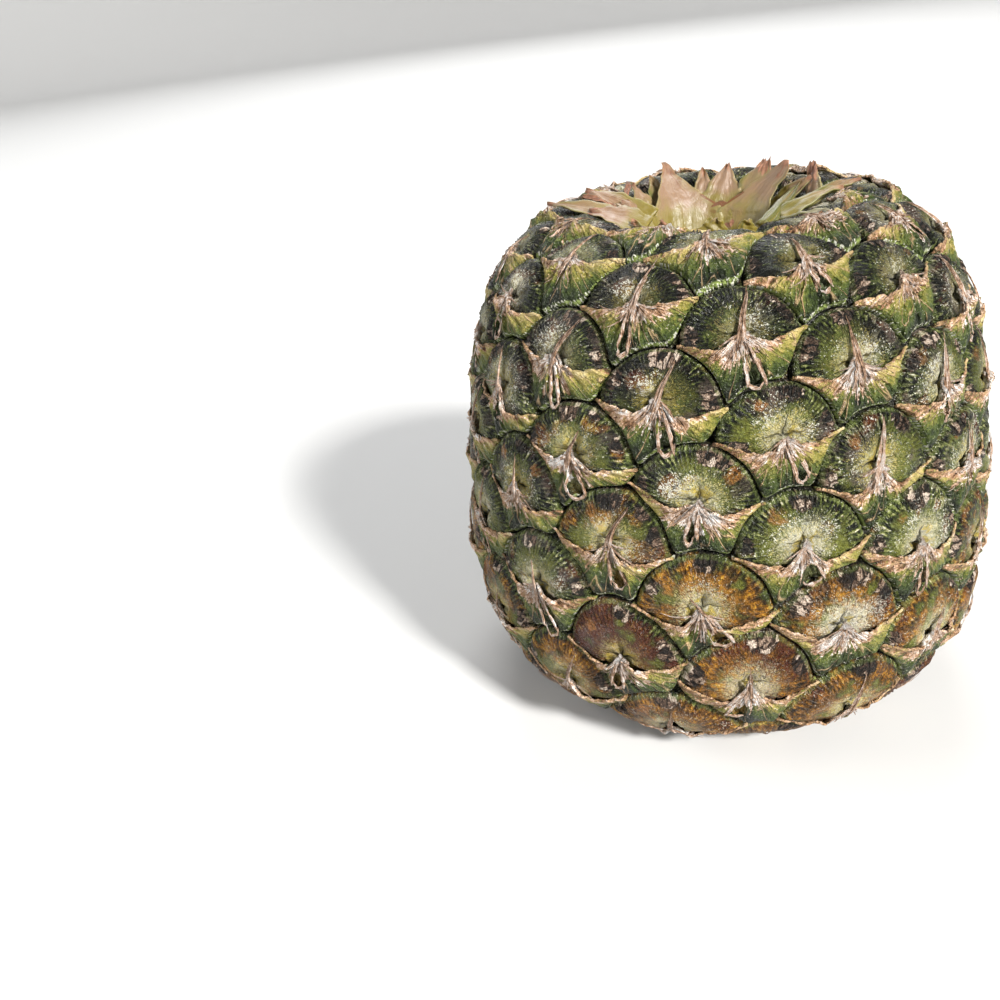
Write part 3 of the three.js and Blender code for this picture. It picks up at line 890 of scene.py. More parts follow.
    # fissures, the navel's creases, and the scale's edge, painted near black as shade in the cracks, the creases and
    # the furrow
    fissure = m.line("fissure", 0.012, 0.05)
    m.lay(fissure * (blot * 0.9 - 0.1), skin["furrow"])
    crease = reach * 0
    for turn, length in skin["creases"]:
        ahead = x * math.sin(turn) + y * math.cos(turn)
        beside = abs(m.swing(x * math.cos(turn) - y * math.sin(turn), kink=0.9)) + ahead * 0.05
        line = (1 - beside.step(0.05, 0.42)) * ahead.step(-0.2, 0.3) * (1 - ahead.step(length * 0.3, length))
        crease = crease.math("MAXIMUM", line)
    m.lay(crease * 0.80, skin["furrow"])
    lip = rim.step(0.88, 0.92) * (1 - rim.step(0.95, 0.975)) * (m.streak * 0.7 + dust * 0.3)
    m.lay(lip * 0.7, skin["lip"])
    # painted shade along the dome's edge, down into the furrow
    edge = m.swing(rim, dust=0.012, streak=0.04, blot=0.04).step(0.968, 1.0)
    m.lay(edge * 0.9, skin["furrow"])
    crumb = (dust * 0.6 + grain * 0.5).step(0.80, 0.88) * rim.step(0.88, 0.95)
    m.lay(crumb * 0.7, skin["bloom"])
    height = grain * 0.4 + m.fineStreak * 0.5 + dust * 0.2 + mottle * 0.5 + cork * (m.chunk - crack * 1.4) * 1.2
    height = height - crease * 1.5 + m.streak * margin * 0.8 - fissure * 0.6
    rough = 0.27 + grain * 0.18 + cork * 0.2 + star * 0.1 + bloom * 0.2
    return m.finish(rough, height, skin["bumpDepth"], Specular_IOR_Level=0.36)


leafy = {                                       # the bracts' colours, from fresh to dry
    "green": ((0.0, (0.008, 0.012, 0.004)), (0.22, (0.034, 0.052, 0.010)), (0.42, (0.090, 0.112, 0.020)),
              (0.62, (0.235, 0.210, 0.042)), (0.80, (0.45, 0.350, 0.120)), (1.0, (0.68, 0.58, 0.32))),
    "dry": ((0.0, (0.014, 0.006, 0.003)), (0.16, (0.085, 0.036, 0.016)), (0.34, (0.29, 0.150, 0.068)),
            (0.54, (0.56, 0.345, 0.215)), (0.72, (0.76, 0.565, 0.45)), (0.86, (0.90, 0.79, 0.71)),
            (1.0, (0.97, 0.94, 0.91))),
    "pocket": ((0.0, (0.015, 0.020, 0.008)), (0.4, (0.080, 0.100, 0.040)), (0.7, (0.20, 0.23, 0.13)),
               (1.0, (0.55, 0.57, 0.50))),
    "edge": (0.55, 0.37, 0.20),
    "lip": (0.27, 0.34, 0.09),
    "ripePocket": (0.30, 0.17, 0.030),
    "fleck": (0.72, 0.71, 0.60),
    "bumpDepth": 0.0014,
    "stripBumpDepth": 0.0006,
}


def paintBract():
    m = Marks("bractSkin", ("window", "luck"), ("eyeXY", "sheet", "tone"))
    luck, (x, y, _), (side, down, depth), (ripe, pale, _) = m.luck, m.eyeXY.parts(), m.sheet.parts(), m.tone.parts()
    reach, turn = (x * x + y * y) ** 0.5, x.math("ARCTAN2", y * -1)
    m.add(joined(turn * 6.0, reach * 0.12, luck * 29.0), strand=(1.3, 1.0, 0.6), fineStrand=(3.2, 2.0, 0.6),
          crack=(1.9, 1.0))
    m.add(joined(turn * 3.0, reach * 0.07, luck * 17.0), vein=(1.0, 1.0))
    m.add(joined(x + luck * 91.0, y, luck * 61.0), mottle=(0.5, 3.0, 0.6), blot=(0.16, 2.0), tooth=(2.2, 0.0))
    m.add(m.place, **speck)
    grain, dust, mottle = m.grain, m.dust, m.mottle
    crownward = m.high.step(0.092, 0.108)
    # where it is dry: near the navel and along its free edge, less so by the crown
    near = 1 - m.swing(reach + crownward * 1.5, blot=5.0, strand=6.5).step(2.6, 9.0)
    hem = depth * 1.15 + abs(side) * 0.4 + side * 1.4 + crownward * 1.5
    hem = 1 - m.swing(hem, blot=4.5, mottle=2.8).step(0.6, 4.8)
    dry = m.swing(near * 0.80 + hem * 0.66, fineStrand=0.35, grain=0.5, mottle=0.3)
    dry = dry + (1 - m.high.step(0.004, 0.03)) * 0.15
    fibre = m.swing(0.54, strand=near * 0.40 + 0.35, fineStrand=0.34, mottle=0.55, grain=0.36, luck=0.12)
    fibre = fibre + near * (0.40 - crownward * 0.16) - hem * (1 - near) * 0.20 - down.step(0.5, 0.95) * 0.04
    crack = m.line("crack", 0.015, 0.075)
    # the cracks in the dry heart are painted darker: painted shade in the cracks
    fibre = fibre - crack * near.step(0.1, 0.6) * 0.42
    fresh = m.swing(0.755 - depth * 0.070 - down * 0.14 + pale * 0.1, mottle=0.34, grain=0.20, strand=0.15, blot=0.2)
    m.color = dry.step(0.31, 0.65).mix(fresh.ramp(leafy["green"]), fibre.ramp(leafy["dry"]))
    vein = m.line("vein", 0.012, 0.05) * reach.step(2.0, 4.0) * (1 - down.step(0.75, 0.92)) * (mottle * 0.9 + 0.3)
    m.lay(vein * 0.75, leafy["edge"])
    # a tan band along the free edge: partly its dry edge, partly a painted highlight where the thin edge catches the
    # light
    trim = 1 - m.swing(depth * 1.4, grain=0.5, mottle=1.6).step(0.0, 0.8)
    m.lay(trim * mottle.step(0.1, 0.9) * 0.6, leafy["edge"])
    # its lower lip with fine teeth, and the fold under it, painted near black as the shadow under the lip
    lip = down.step(0.88, 0.93) * (1 - down.step(0.955, 0.985))
    m.lay(lip * mottle.step(0.1, 0.7) * 0.85, leafy["lip"])
    m.lay(m.tooth.step(0.68, 0.80) * down.step(0.87, 0.9) * 0.8, leafy["fleck"])
    m.lay(m.swing(down, dust=0.02).step(0.970, 0.995), skin["furrow"])
    # the window's moist bottom
    gleam = grain * 0.3 + dust * 0.2 + mottle * 0.25 + y * 0.12 + 0.85
    pocket = (ripe * 0.8).mix(gleam.ramp(leafy["pocket"]), leafy["ripePocket"])
    inside = m.window.step(0.50, 0.60)
    m.lay(inside, pocket)
    m.lay((dust * 0.6 + grain * 0.4).step(0.76, 0.86) * 0.45, leafy["fleck"])
    rough = m.swing(0.44 + dry.step(0.4, 0.8) * 0.22 - inside * 0.15, grain=0.1)
    height = m.strand * 0.8 + m.fineStrand * (near * 0.6 + 0.2) + grain * 0.4 + dust * 0.15 + mottle * 0.4
    height = height + vein * 0.5 - crack * near * 0.8
    return m.finish(rough, height, leafy["bumpDepth"], Specular_IOR_Level=0.30)


def paintStrip():
    m = Marks("dryStrip", ("luck", "share", "around"))
    m.add(joined(m.around * 3.5, m.share * 3.0, m.luck * 31.0), fibre=(1.4, 2.0))
    m.add(m.place, grain=(1000.0, 3.0, 0.6), dust=(3200.0, 1.0, 0.6))
    m.color = m.swing(0.58 - m.share ** 3 * 0.15, fibre=0.75, grain=0.6, luck=0.35).ramp(leafy["dry"])
    return m.finish(m.grain * 0.1 + 0.6, m.grain * 0.5 + m.dust * 0.3 + m.fibre, leafy["stripBumpDepth"])


flesh = {                                       # the cup's and the leaf bases' colours
    "cream": (0.20, 0.156, 0.045),
    "yellow": (0.168, 0.128, 0.018),
    "green": (0.17, 0.18, 0.045),
    "brown": (0.125, 0.045, 0.012),
    "pale": (0.52, 0.47, 0.28),
    "leafCream": (0.200, 0.140, 0.058),
    "pink": (0.238, 0.142, 0.088),
    "leafGreen": (0.125, 0.122, 0.026),
    "deepGreen": (0.062, 0.076, 0.015),
    "tipScale": ((0.0, (0.030, 0.014, 0.010)), (0.5, (0.19, 0.075, 0.040)), (1.0, (0.48, 0.24, 0.15))),
    "vein": (0.50, 0.44, 0.28),
    "rim": (0.46, 0.42, 0.20),
    "glowColor": (1.0, 0.8, 0.3),
    "cupGlow": (0.25, 0.003),                   # weight and depth
    "leafGlow": (0.15, 0.002),
    "cupBumpDepth": 0.0005,
    "leafBumpDepth": 0.0003,
}


def softLight(kind):
    weight, depth = flesh[kind]
    return {"Subsurface_Weight": weight, "Subsurface_Radius": flesh["glowColor"], "Subsurface_Scale": depth}


def paintCup():
    m = Marks("cupFlesh")
    turn, reach = m.x.math("ARCTAN2", m.y), (m.x * m.x + m.y * m.y) ** 0.5
    m.add(joined(turn * 5.0, m.high * 90.0, reach * 60.0), ridge=(1.2, 2.0))
    m.add(m.place, grain=(700.0, 3.0, 0.6), blot=(140.0, 2.0))
    m.color = m.high.step(0.1035, 0.1120).mix(flesh["yellow"], flesh["cream"])
    m.lay(m.ridge.step(0.55, 0.95) * 0.4, flesh["green"])
    m.lay(m.grain.step(0.6, 0.9) * 0.3, flesh["pale"])
    m.lay(m.blot.step(0.80, 0.92) * 0.5, flesh["brown"])
    return m.finish(m.grain * 0.2 + 0.25, m.grain * 0.4 + m.ridge, flesh["cupBumpDepth"], **softLight("cupGlow"))


def paintLeaf():
    m = Marks("leafFlesh", ("burnt",), ("sheet", "tone"))
    (across, up, luck), (green, dryness, inner) = m.sheet.parts(), m.tone.parts()
    wide = abs(across)
    m.add(joined(across * 5.0, up * 0.8, luck * 43.0), vein=(1.3, 2.0))
    m.add(joined(across * 22.0, up * 1.2, luck * 19.0), fineVein=(1.5, 1.0))
    m.add(m.place, grain=(700.0, 3.0, 0.6), blot=(190.0, 2.0))
    vein, fineVein, grain, blot = m.vein, m.fineVein, m.grain, m.blot
    m.color = m.swing(up, blot=0.2).step(0.38, 0.72).mix(flesh["cream"], flesh["leafCream"])
    m.color = m.swing(up + dryness * 2.0, blot=0.15).step(0.2, 0.55).mix(flesh["yellow"], m.color)
    blush = m.swing(up + dryness * 1.5, blot=0.4).step(0.3, 0.65) * (1 - m.swing(wide, blot=0.8).step(0.55, 1.1))
    m.lay(blush * 0.9 * (1 - green * 0.7), flesh["pink"])
    shade = m.swing(wide.step(0.6, 1.0) * 0.4 + green - 0.30, vein=0.2, blot=0.7)
    m.lay(shade.step(0.1, 0.9) * 0.9, flesh["leafGreen"])
    m.lay((1 - inner) * (green + vein - 0.2).step(0.4, 1.0) * 0.8, flesh["deepGreen"])
    m.lay(fineVein.step(0.5, 1.0) * 0.10, flesh["vein"])
    m.lay(m.swing(wide, fineVein=0.06).step(0.93, 0.98) * 0.18, flesh["rim"])
    scorch = m.swing(up + dryness * 0.8 - 0.10, vein=0.25, blot=0.30).step(0.82, 0.95)
    m.lay(scorch * 0.92, (vein * 0.5 + grain * 0.5).ramp(flesh["tipScale"]))
    m.lay(blot.step(0.86, 0.95) * (fineVein * 0.6 + 0.2), flesh["brown"])
    m.lay(m.swing(m.burnt, grain=0.2).step(0.35, 0.65) * 0.9, flesh["brown"])
    height = vein * 0.3 + fineVein * 0.06 + grain * 0.3 + blot * 0.5
    rough = m.swing(0.44 + scorch * 0.3, grain=0.2)
    return m.finish(rough, height, flesh["leafBumpDepth"], **softLight("leafGlow"))


cutStalk = {
    "pith": ((0.52, 0.40, 0.20), (0.30, 0.20, 0.10)),
    "bark": (0.20, 0.16, 0.07),
    "barkEdge": (0.0095, 0.0125),
    "fibre": (0.62, 0.52, 0.33),
    "bumpDepth": 0.0006,
}


def paintStalk():
    m = Marks("stalkFibre")
    m.add(m.place, grain=(500.0, 4.0, 0.6))
    pith = m.place.cells(900.0)
    m.color = pith.step(0.15, 0.6).mix(*cutStalk["pith"])
    reach = m.swing((m.x * m.x + m.y * m.y) ** 0.5, grain=0.004)
    m.lay(reach.step(*cutStalk["barkEdge"]), cutStalk["bark"])
    m.lay(m.grain.step(0.55, 0.75) * 0.4, cutStalk["fibre"])
    return m.finish(m.grain * 0.2 + 0.65, pith + m.grain, cutStalk["bumpDepth"])


paints = {"rind": paintRind(), "bract": paintBract(), "strip": paintStrip(), "cup": paintCup(),
          "leaf": paintLeaf(), "stalk": paintStalk()}
print("paints ready")

rind = grow(makeRind(), reliefTree(paints["rind"]), rindPlan["relief"])
settle(rind, "fruit")

# The bracts: a leathery cape below each navel, its wings reaching round the dome

halves = {"low": [eye for eye in eyes if eye["index"] < 0], "high": [eye for eye in eyes if eye["index"] >= 0]}
bractSheet = {
    "columns": 51,
    "crowding": 0.4,                            # share of the columns' spacing that narrows towards the middle
    "rows": (0, 0.045, 0.12, 0.22, 0.34, 0.47, 0.6, 0.72, 0.82, 0.9, 0.96, 1),
    "lift": ((0, 0.95), (0.1, 0.75), (0.3, 0.4), (0.55, 0.15), (0.75, 0.0), (0.88, -0.4), (0.955, -1.3), (1, -3.1)),
    "wingShrink": 0.35,                         # how much lower the wings' tips lie, as a share and in millimetres
    "wingDrop": 0.9,
    "tipReach": 1.03,
    "overlap": 0.15,
    "leastTall": 0.4,
    "windowSlant": 0.12,
    "windowFade": 1.55,                         # this and the next two are 1 at the window's edge
    "rimEdges": ((0.95, 1.15), (1.25, 1.9)),
    "pocketEdge": (0.85, 1.08),
    "rimHeight": 0.45,
    "pocketDepth": 1.7,
    "pocketBulge": 0.55,
    "thickness": 0.5,
    "relief": {"ridgeHeight": 0.80, "foldHeight": 1.6, "grainHeight": 0.22},
}


def sheetHeight(eye, x, y, down):               # how far a bract stands out of the barrel
    left, right = eye["tips"]
    away = np.clip(np.where(x < 0, x / left[0], x / right[0]), 0, 1)
    high = np.interp(down, *zip(*bractSheet["lift"])) * (1 - bractSheet["wingShrink"] * away ** 2)
    high = high - bractSheet["wingDrop"] * away ** 5
    window = np.zeros_like(high)
    if eye["window"]:
        middle, low, half, tall = eye["window"]
        apart = np.hypot((x - middle - bractSheet["windowSlant"] * (y - low)) / half, (y - low) / tall)
        window = np.clip(bractSheet["windowFade"] - apart, 0, 1)
        lens = 1 - bractSheet["pocketBulge"] * np.clip(1 - apart ** 2, 0, 1)
        rise, fall = (smooth(*edge, apart) for edge in bractSheet["rimEdges"])
        high = high + bractSheet["rimHeight"] * (rise - fall)
        high = high - bractSheet["pocketDepth"] * lens * (1 - smooth(*bractSheet["pocketEdge"], apart))
    return high, window


def makeBracts(name, some):
    points, faces = [], []
    layers = {key: [] for key in ("eyeXY", "sheet", "window", "luck", "outward", "lift", "tone")}
    rows, columns = np.array(bractSheet["rows"])[:, None], bractSheet["columns"]
    spread = np.linspace(-1, 1, columns)
    spread = spread * (1 - bractSheet["crowding"]) + spread ** 3 * bractSheet["crowding"]
    for eye in some:
        left, right = eye["tips"]
        x = np.where(spread < 0, -spread * left[0], spread * right[0]) * bractSheet["tipReach"]
        spots = eye["outlineXY"]
        line = left[1] + (right[1] - left[1]) * (spots[:, 0] - left[0]) / (right[0] - left[0])
        low = spots[(spots[:, 1] <= line + 1e-6)]
        low = low[np.argsort(low[:, 0])]
        top = eye["upperEdge"](x) + bractSheet["overlap"]
        bottom = np.interp(x, low[:, 0], low[:, 1])
        for _ in range(3):                      # rounds off the cell's corners
            bottom[1:-1] = bottom[1:-1] * 0.5 + (bottom[:-2] + bottom[2:]) * 0.25
        bottom = np.minimum(bottom, top - bractSheet["leastTall"])
        y = top + (bottom - top) * rows
        x, down, across = (np.broadcast_to(values, y.shape) for values in (x, rows, spread))
        high, window = sheetHeight(eye, x, y, down)
        at = np.stack([x, y], -1)
        base, out = fromSphere(fromLocal(eye, at))
        faces += gridFaces(len(points), *y.shape)
        points.extend(base.reshape(-1, 3))
        for key, values in (("eyeXY", np.stack([x, y, 0 * y], -1)), ("sheet", np.stack([across, down, top - y], -1)),
                            ("outward", out), ("tone", np.broadcast_to(eye["tone"], (*y.shape, 3)))):
            layers[key].extend(values.reshape(-1, 3))
        for key, values in (("window", window), ("lift", high), ("luck", np.full(y.shape, eye["luck"][1]))):
            layers[key].extend(values.ravel())
    return makeMesh(name, points, faces, layers)


def sheetTree(material):
    tree, given = openTree("bractRelief", bractSheet["relief"])
    start = given["Geometry"]
    lift, luck, window = named(start, "lift", "luck", "window")
    xy, sheet, out = named(start, "eyeXY", "sheet", "outward", kind="FLOAT_VECTOR")
    place = start.node("GeometryNodeInputPosition")
    (x, y, _), (_, down, _) = xy.parts(), sheet.parts()
    turn, reach = x.math("ARCTAN2", y * -1), (x * x + y * y) ** 0.5
    calm = (1 - window) * (1 - down.step(0.8, 1.0))
    fan = joined(turn * 6.0, reach * 0.12, luck * 29.0)   # the same strands as its paint has
    ridges = (fan.noise(1.3, 1.0, 0.6) - 0.5) * given["ridgeHeight"] * calm
    folds = (joined(turn * 4.2, reach * 0.1, luck * 7.0).noise(1.0, 0.0) - 0.35) * given["foldHeight"] * calm
    folds = folds * reach.step(0.5, 2.5) * (1 - reach.step(5.0, 11.0)) * (1 - down.step(0.5, 0.95))
    grain = (place.noise(500.0, 3.0) - 0.5) * given["grainHeight"] * (1 - down ** 6)
    moved = out.scaled((lift + ridges + folds + grain) * mm)
    shape = start.node("GeometryNodeSetPosition", {}, {"Geometry": start, "Offset": moved})
    return closeTree(tree, shape, material)


sheet = sheetTree(paints["bract"])
for half, some in halves.items():
    bracts = grow(makeBracts(half + "Bracts", some), sheet, bractSheet["relief"])
    wall = bracts.modifiers.new("wall", "SOLIDIFY")
    wall.thickness = bractSheet["thickness"] * mm
    wall.offset = -1
    settle(bracts, "fruit")

# Dry strips: each bract's spine, the loop round its window, and loose strands

stripPlan = {
    "points": 9,
    "sides": 6,
    "spineStrands": 4,
    "spineGap": 0.36,
    "spineWidth": 0.5,
    "spineRoot": (2.2, 4.0),
    "spineReach": (0.55, 1.0),                 # of all its strands but the first, as a share of its length
    "spineBend": 0.15,
    "armWidth": 0.54,
    "armStarts": ((-0.45, -0.5), (0.35, -0.5)),
    "loopWidth": 0.62,
    "loopTurn": (185, 355),
    "loopSize": (1.15, 1.1),                    # beside the window's half width and half height
    "avoid": (1.5, 1.3),
    "tatters": (3, 6),
    "tatterWidth": (0.28, 0.62),
    "tatterLength": (2.4, 4.8),
    "tatterTurn": 1.15,
    "tatterBegin": (0.1, 0.9),                  # how far from the navel it starts
    "strands": (7, 12),
    "strandWidth": (0.10, 0.24),
    "strandLength": (2.0, 6.0),
    "strandTurn": 0.55,
    "strandBegin": (0.3, 2.6),
    "curl": 0.05,
    "shake": 0.08,
    "tube": {"flatness": 0.30},
}


class Strips:                                   # collects lines of points on the eyes, each with its widths
    def __init__(self):
        self.points, self.edges = [], []
        self.layers = {key: [] for key in ("thick", "outward", "luck", "share")}
        self.share = np.linspace(0, 1, stripPlan["points"])

    def add(self, eye, spots, heights, widths, luck):
        base, out = fromSphere(fromLocal(eye, spots))
        start, count = len(self.points), len(self.share)
        self.points.extend(base + out * heights[:, None])
        self.edges.extend((start + k, start + k + 1) for k in range(count - 1))
        for key, values in (("thick", widths), ("outward", out), ("luck", [luck] * count), ("share", self.share)):
            self.layers[key].extend(values)


def addSpine(strips, eye):
    random, size, share, (lean, length) = eye["random"], eye["size"], strips.share, eye["spine"]
    turn = math.radians(lean) + random.normal() * stripPlan["spineBend"] * share
    for k in range(stripPlan["spineStrands"]):
        off = (k - 1.5) * stripPlan["spineGap"]
        reach = length * random.uniform(*stripPlan["spineReach"]) if k else length
        root = random.uniform(*stripPlan["spineRoot"]) * size
        run = share * (reach + root) - root
        aside = off * (1 - share * 0.8) + 0.15 * np.sin(share * 9 + k * 2)
        heights = 0.75 + 0.4 * np.sin(share * 3.0) - 0.3 * share + 0.12 * k
        widths = stripPlan["spineWidth"] * (1.12 - share) ** 0.8 * (0.15 + 0.85 * smooth(0, 0.3, share))
        widths = widths * random.uniform(0.8, 1.2, len(share))
        spots = np.stack([run * np.sin(turn) + aside, run * np.cos(turn)], 1)
        strips.add(eye, spots, heights, widths, random.random() * 0.8)


def addLoop(strips, eye):                       # round the window's lower side, and the two torn arms beside it
    random, share, shake = eye["random"], strips.share, stripPlan["shake"]
    (x, y, half, tall), (wider, taller) = eye["window"], stripPlan["loopSize"]
    count = len(share)
    belly = np.sin(share * math.pi)
    turn = np.radians(np.linspace(*stripPlan["loopTurn"], count))
    spots = np.stack([x + half * wider * np.cos(turn), y + tall * taller * np.sin(turn)], 1)
    spots[:, 0] += bractSheet["windowSlant"] * (spots[:, 1] - y)
    spots += random.normal(0, 0.15, spots.shape)
    heights = 0.15 - 0.10 * np.sin(turn) + random.normal(0, shake, count)
    widths = stripPlan["loopWidth"] * random.uniform(0.4, 1.15, count) * (0.1 + 0.9 * belly ** 1.3)
    strips.add(eye, spots, heights, widths, random.random() * 0.5 + 0.4)
    for edge, start in zip((spots[0], spots[-1]), stripPlan["armStarts"]):
        low = edge + (0, -tall * random.uniform(0.3, 1.0))
        path = sum(np.outer(weight, spot) for weight, spot in
                   (((1 - share) ** 2, start), (2 * share * (1 - share), edge), (share ** 2, low)))
        path = path + random.normal(0, 0.07, (count, 2))
        heights = 0.95 - 0.45 * share + random.normal(0, shake, count)
        widths = stripPlan["armWidth"] * random.uniform(0.6, 1.1, count) * (0.25 + 0.75 * belly)
        strips.add(eye, path, heights, widths, random.random() * 0.6 + 0.3)


def addLoose(strips, eye, kind):                # a strand, or a broad tatter, that lies down the bract
    random, share, broad = eye["random"], strips.share, kind == "tatter"
    reach = stripPlan[kind + "Turn"]
    turn = random.uniform(-reach, reach) if broad else random.normal(0, reach)
    length = random.uniform(*stripPlan[kind + "Length"]) * eye["size"]
    curl = random.normal(0, stripPlan["curl"])
    run = random.uniform(*stripPlan[kind + "Begin"]) + share * length
    path = turn + curl * run
    spots = np.stack([run * np.sin(path), -run * np.cos(path)], 1)
    if eye["window"]:                           # it goes round the window
        middle, clear = np.array(eye["window"][:2]), np.array(eye["window"][2:]) * stripPlan["avoid"]
        apart = (spots - middle) / clear
        close = np.linalg.norm(apart, axis=1, keepdims=True)
        spots = np.where(close < 1, middle + apart / np.maximum(close, 0.05) * clear, spots)
    top = eye["upperEdge"](spots[:, 0])
    bottom = np.interp(spots[:, 0], *zip(*sorted(map(tuple, eye["outlineXY"][eye["outlineXY"][:, 1] < 0]))))
    down = np.clip((top - spots[:, 1]) / np.maximum(top - bottom, 0.5), 0, 1)
    heights = np.interp(down, *zip(*bractSheet["lift"])) + 0.12 + random.uniform(0, 0.4) * share ** 3
    heights = np.where(down > 0.86, np.maximum(heights, -0.4), heights)
    widths = random.uniform(*stripPlan[kind + "Width"]) * (1.1 - share) ** 0.5
    if broad:
        widths = widths * random.uniform(0.7, 1.2, len(share)) * (0.4 + 0.6 * smooth(0, 0.3, share))
        heights = heights + 0.15 + random.normal(0, stripPlan["shake"], len(share)) + 0.2 * share ** 2
    strips.add(eye, spots, heights, widths, random.random() * 0.6 + 0.35 if broad else random.random())


def makeStrips(name, some):
    strips = Strips()
    for eye in some:
        if eye["spine"]:
            addSpine(strips, eye)
        if eye["window"]:
            addLoop(strips, eye)
        kinds = [kind for kind in ("tatter", "strand") for _ in range(eye["random"].integers(*stripPlan[kind + "s"]))]
        for kind in kinds:
            addLoose(strips, eye, kind)
    return makeMesh(name, strips.points, [], strips.layers, edges=strips.edges)


def tubeTree(material):
    tree, given = openTree("flatTube", stripPlan["tube"])
    start = given["Geometry"]
    (out,), (thick,) = named(start, "outward", kind="FLOAT_VECTOR"), named(start, "thick")
    line = start.node("GeometryNodeMeshToCurve", {}, {0: start})
    line = line.node("GeometryNodeSetCurveNormal", {"mode": "FREE"}, {"Curve": line, "Normal": out})
    ring = start.node("GeometryNodeCurvePrimitiveCircle", {}, {"Resolution": stripPlan["sides"], "Radius": 1.0})
    _, around, _ = ring.node("GeometryNodeInputPosition").parts()
    ring = ring.node("GeometryNodeStoreNamedAttribute", {"data_type": "FLOAT"},
                     {"Geometry": ring, "Name": "around", "Value": around})
    flat = joined(given["flatness"], 1.0, 1.0)
    ring = ring.node("GeometryNodeTransform", {}, {"Geometry": ring, "Scale": flat})
    inputs = {"Curve": line, "Profile Curve": ring, "Scale": thick * mm, "Fill Caps": True}
    return closeTree(tree, line.node("GeometryNodeCurveToMesh", {}, inputs), material)


tubes = tubeTree(paints["strip"])
for half, some in halves.items():
    settle(grow(makeStrips(half + "Strips", some), tubes, stripPlan["tube"]), "fruit")

# The crown's torn base: a cup of pulp, and the leaf bases round it

cup = {
    "rimRadius": 17.2,
    "rimHeight": 113.2,
    "rimSwell": 0.35,
    "wall": 1.7,
    "floorRadius": 12.6,
    "floorHeight": 103.4,
    "floorBend": 0.6,
    "underside": 101.2,
    "clearance": 0.15,
    "around": 120,
    "outerRings": 7,
    "innerRings": 10,
    "floorRings": 14,
    "pitDepth": 1.5,
    "pitEdge": (12.5, 10.5),
    "waves": (5, 9, 16, 27),
    "loose": {"outside": 0.12, "rim": 0.1, "inside": 0.18, "floor": 0.3},   # how rough each part is
}
leafPlan = {
    "rows": 22,
    "columns": 13,
    "thick": (1.3, 0.4),
    "rootDepth": 1.8,
    "curl": 0.026,
    "ripple": 0.42,
    "ends": {"point": (0.07, 0.012), "torn": (0.30, 0.09)},   # width left at the tip, and raggedness
    "bowlRows": 30,
    "bowlColumns": 33,
    "bowlInset": {1: 0.35, 2: 0.15, 3: 0.30},
    "bowlThick": ((108, 124), (1.5, 0.5)),      # heights and thicknesses
    "bowlTop": (12, 23.7),                      # height above the rim, and the bowl's radius there
    "notch": (113.3, 117.0),                    # heights between which two facing edges are painted brown
    "notchWidth": (0.5, 1.3),
    "notchSide": {1: "last", 3: "first"},
    "tornFrom": (113.2, 113.8),                 # leaf 2 is torn off at its top
    "seed": 41,
}
# The three leaves that form the bowl's far wall: left and right edges as (bearing, height), greenness, dryness
bowlLeaves = {
    1: (((163, 104.6), (154, 113.2), (139, 116.8), (131, 119.5), (126, 122.0), (123, 124.2)),
        ((78, 104.6), (82.5, 113.4), (90, 114.6), (97, 115.9), (105, 118.0), (115, 121.0), (120, 124.2)), 0.05, 0.02),
    2: (((104, 104.6), (98, 112.0), (91, 114.0), (87, 114.5)),
        ((62, 104.6), (70, 112.0), (77, 114.0), (82, 114.5)), 0.0, 0.75),
    3: (((92, 104.6), (85.5, 113.4), (77, 114.6), (68, 116.3), (60, 118.6), (50, 121.0), (42.5, 123.5)),
        ((28, 104.6), (35, 113.3), (38.5, 116.0), (37.5, 118.6), (34, 121.4), (38.5, 123.5)), 0.25, 0.02),
}
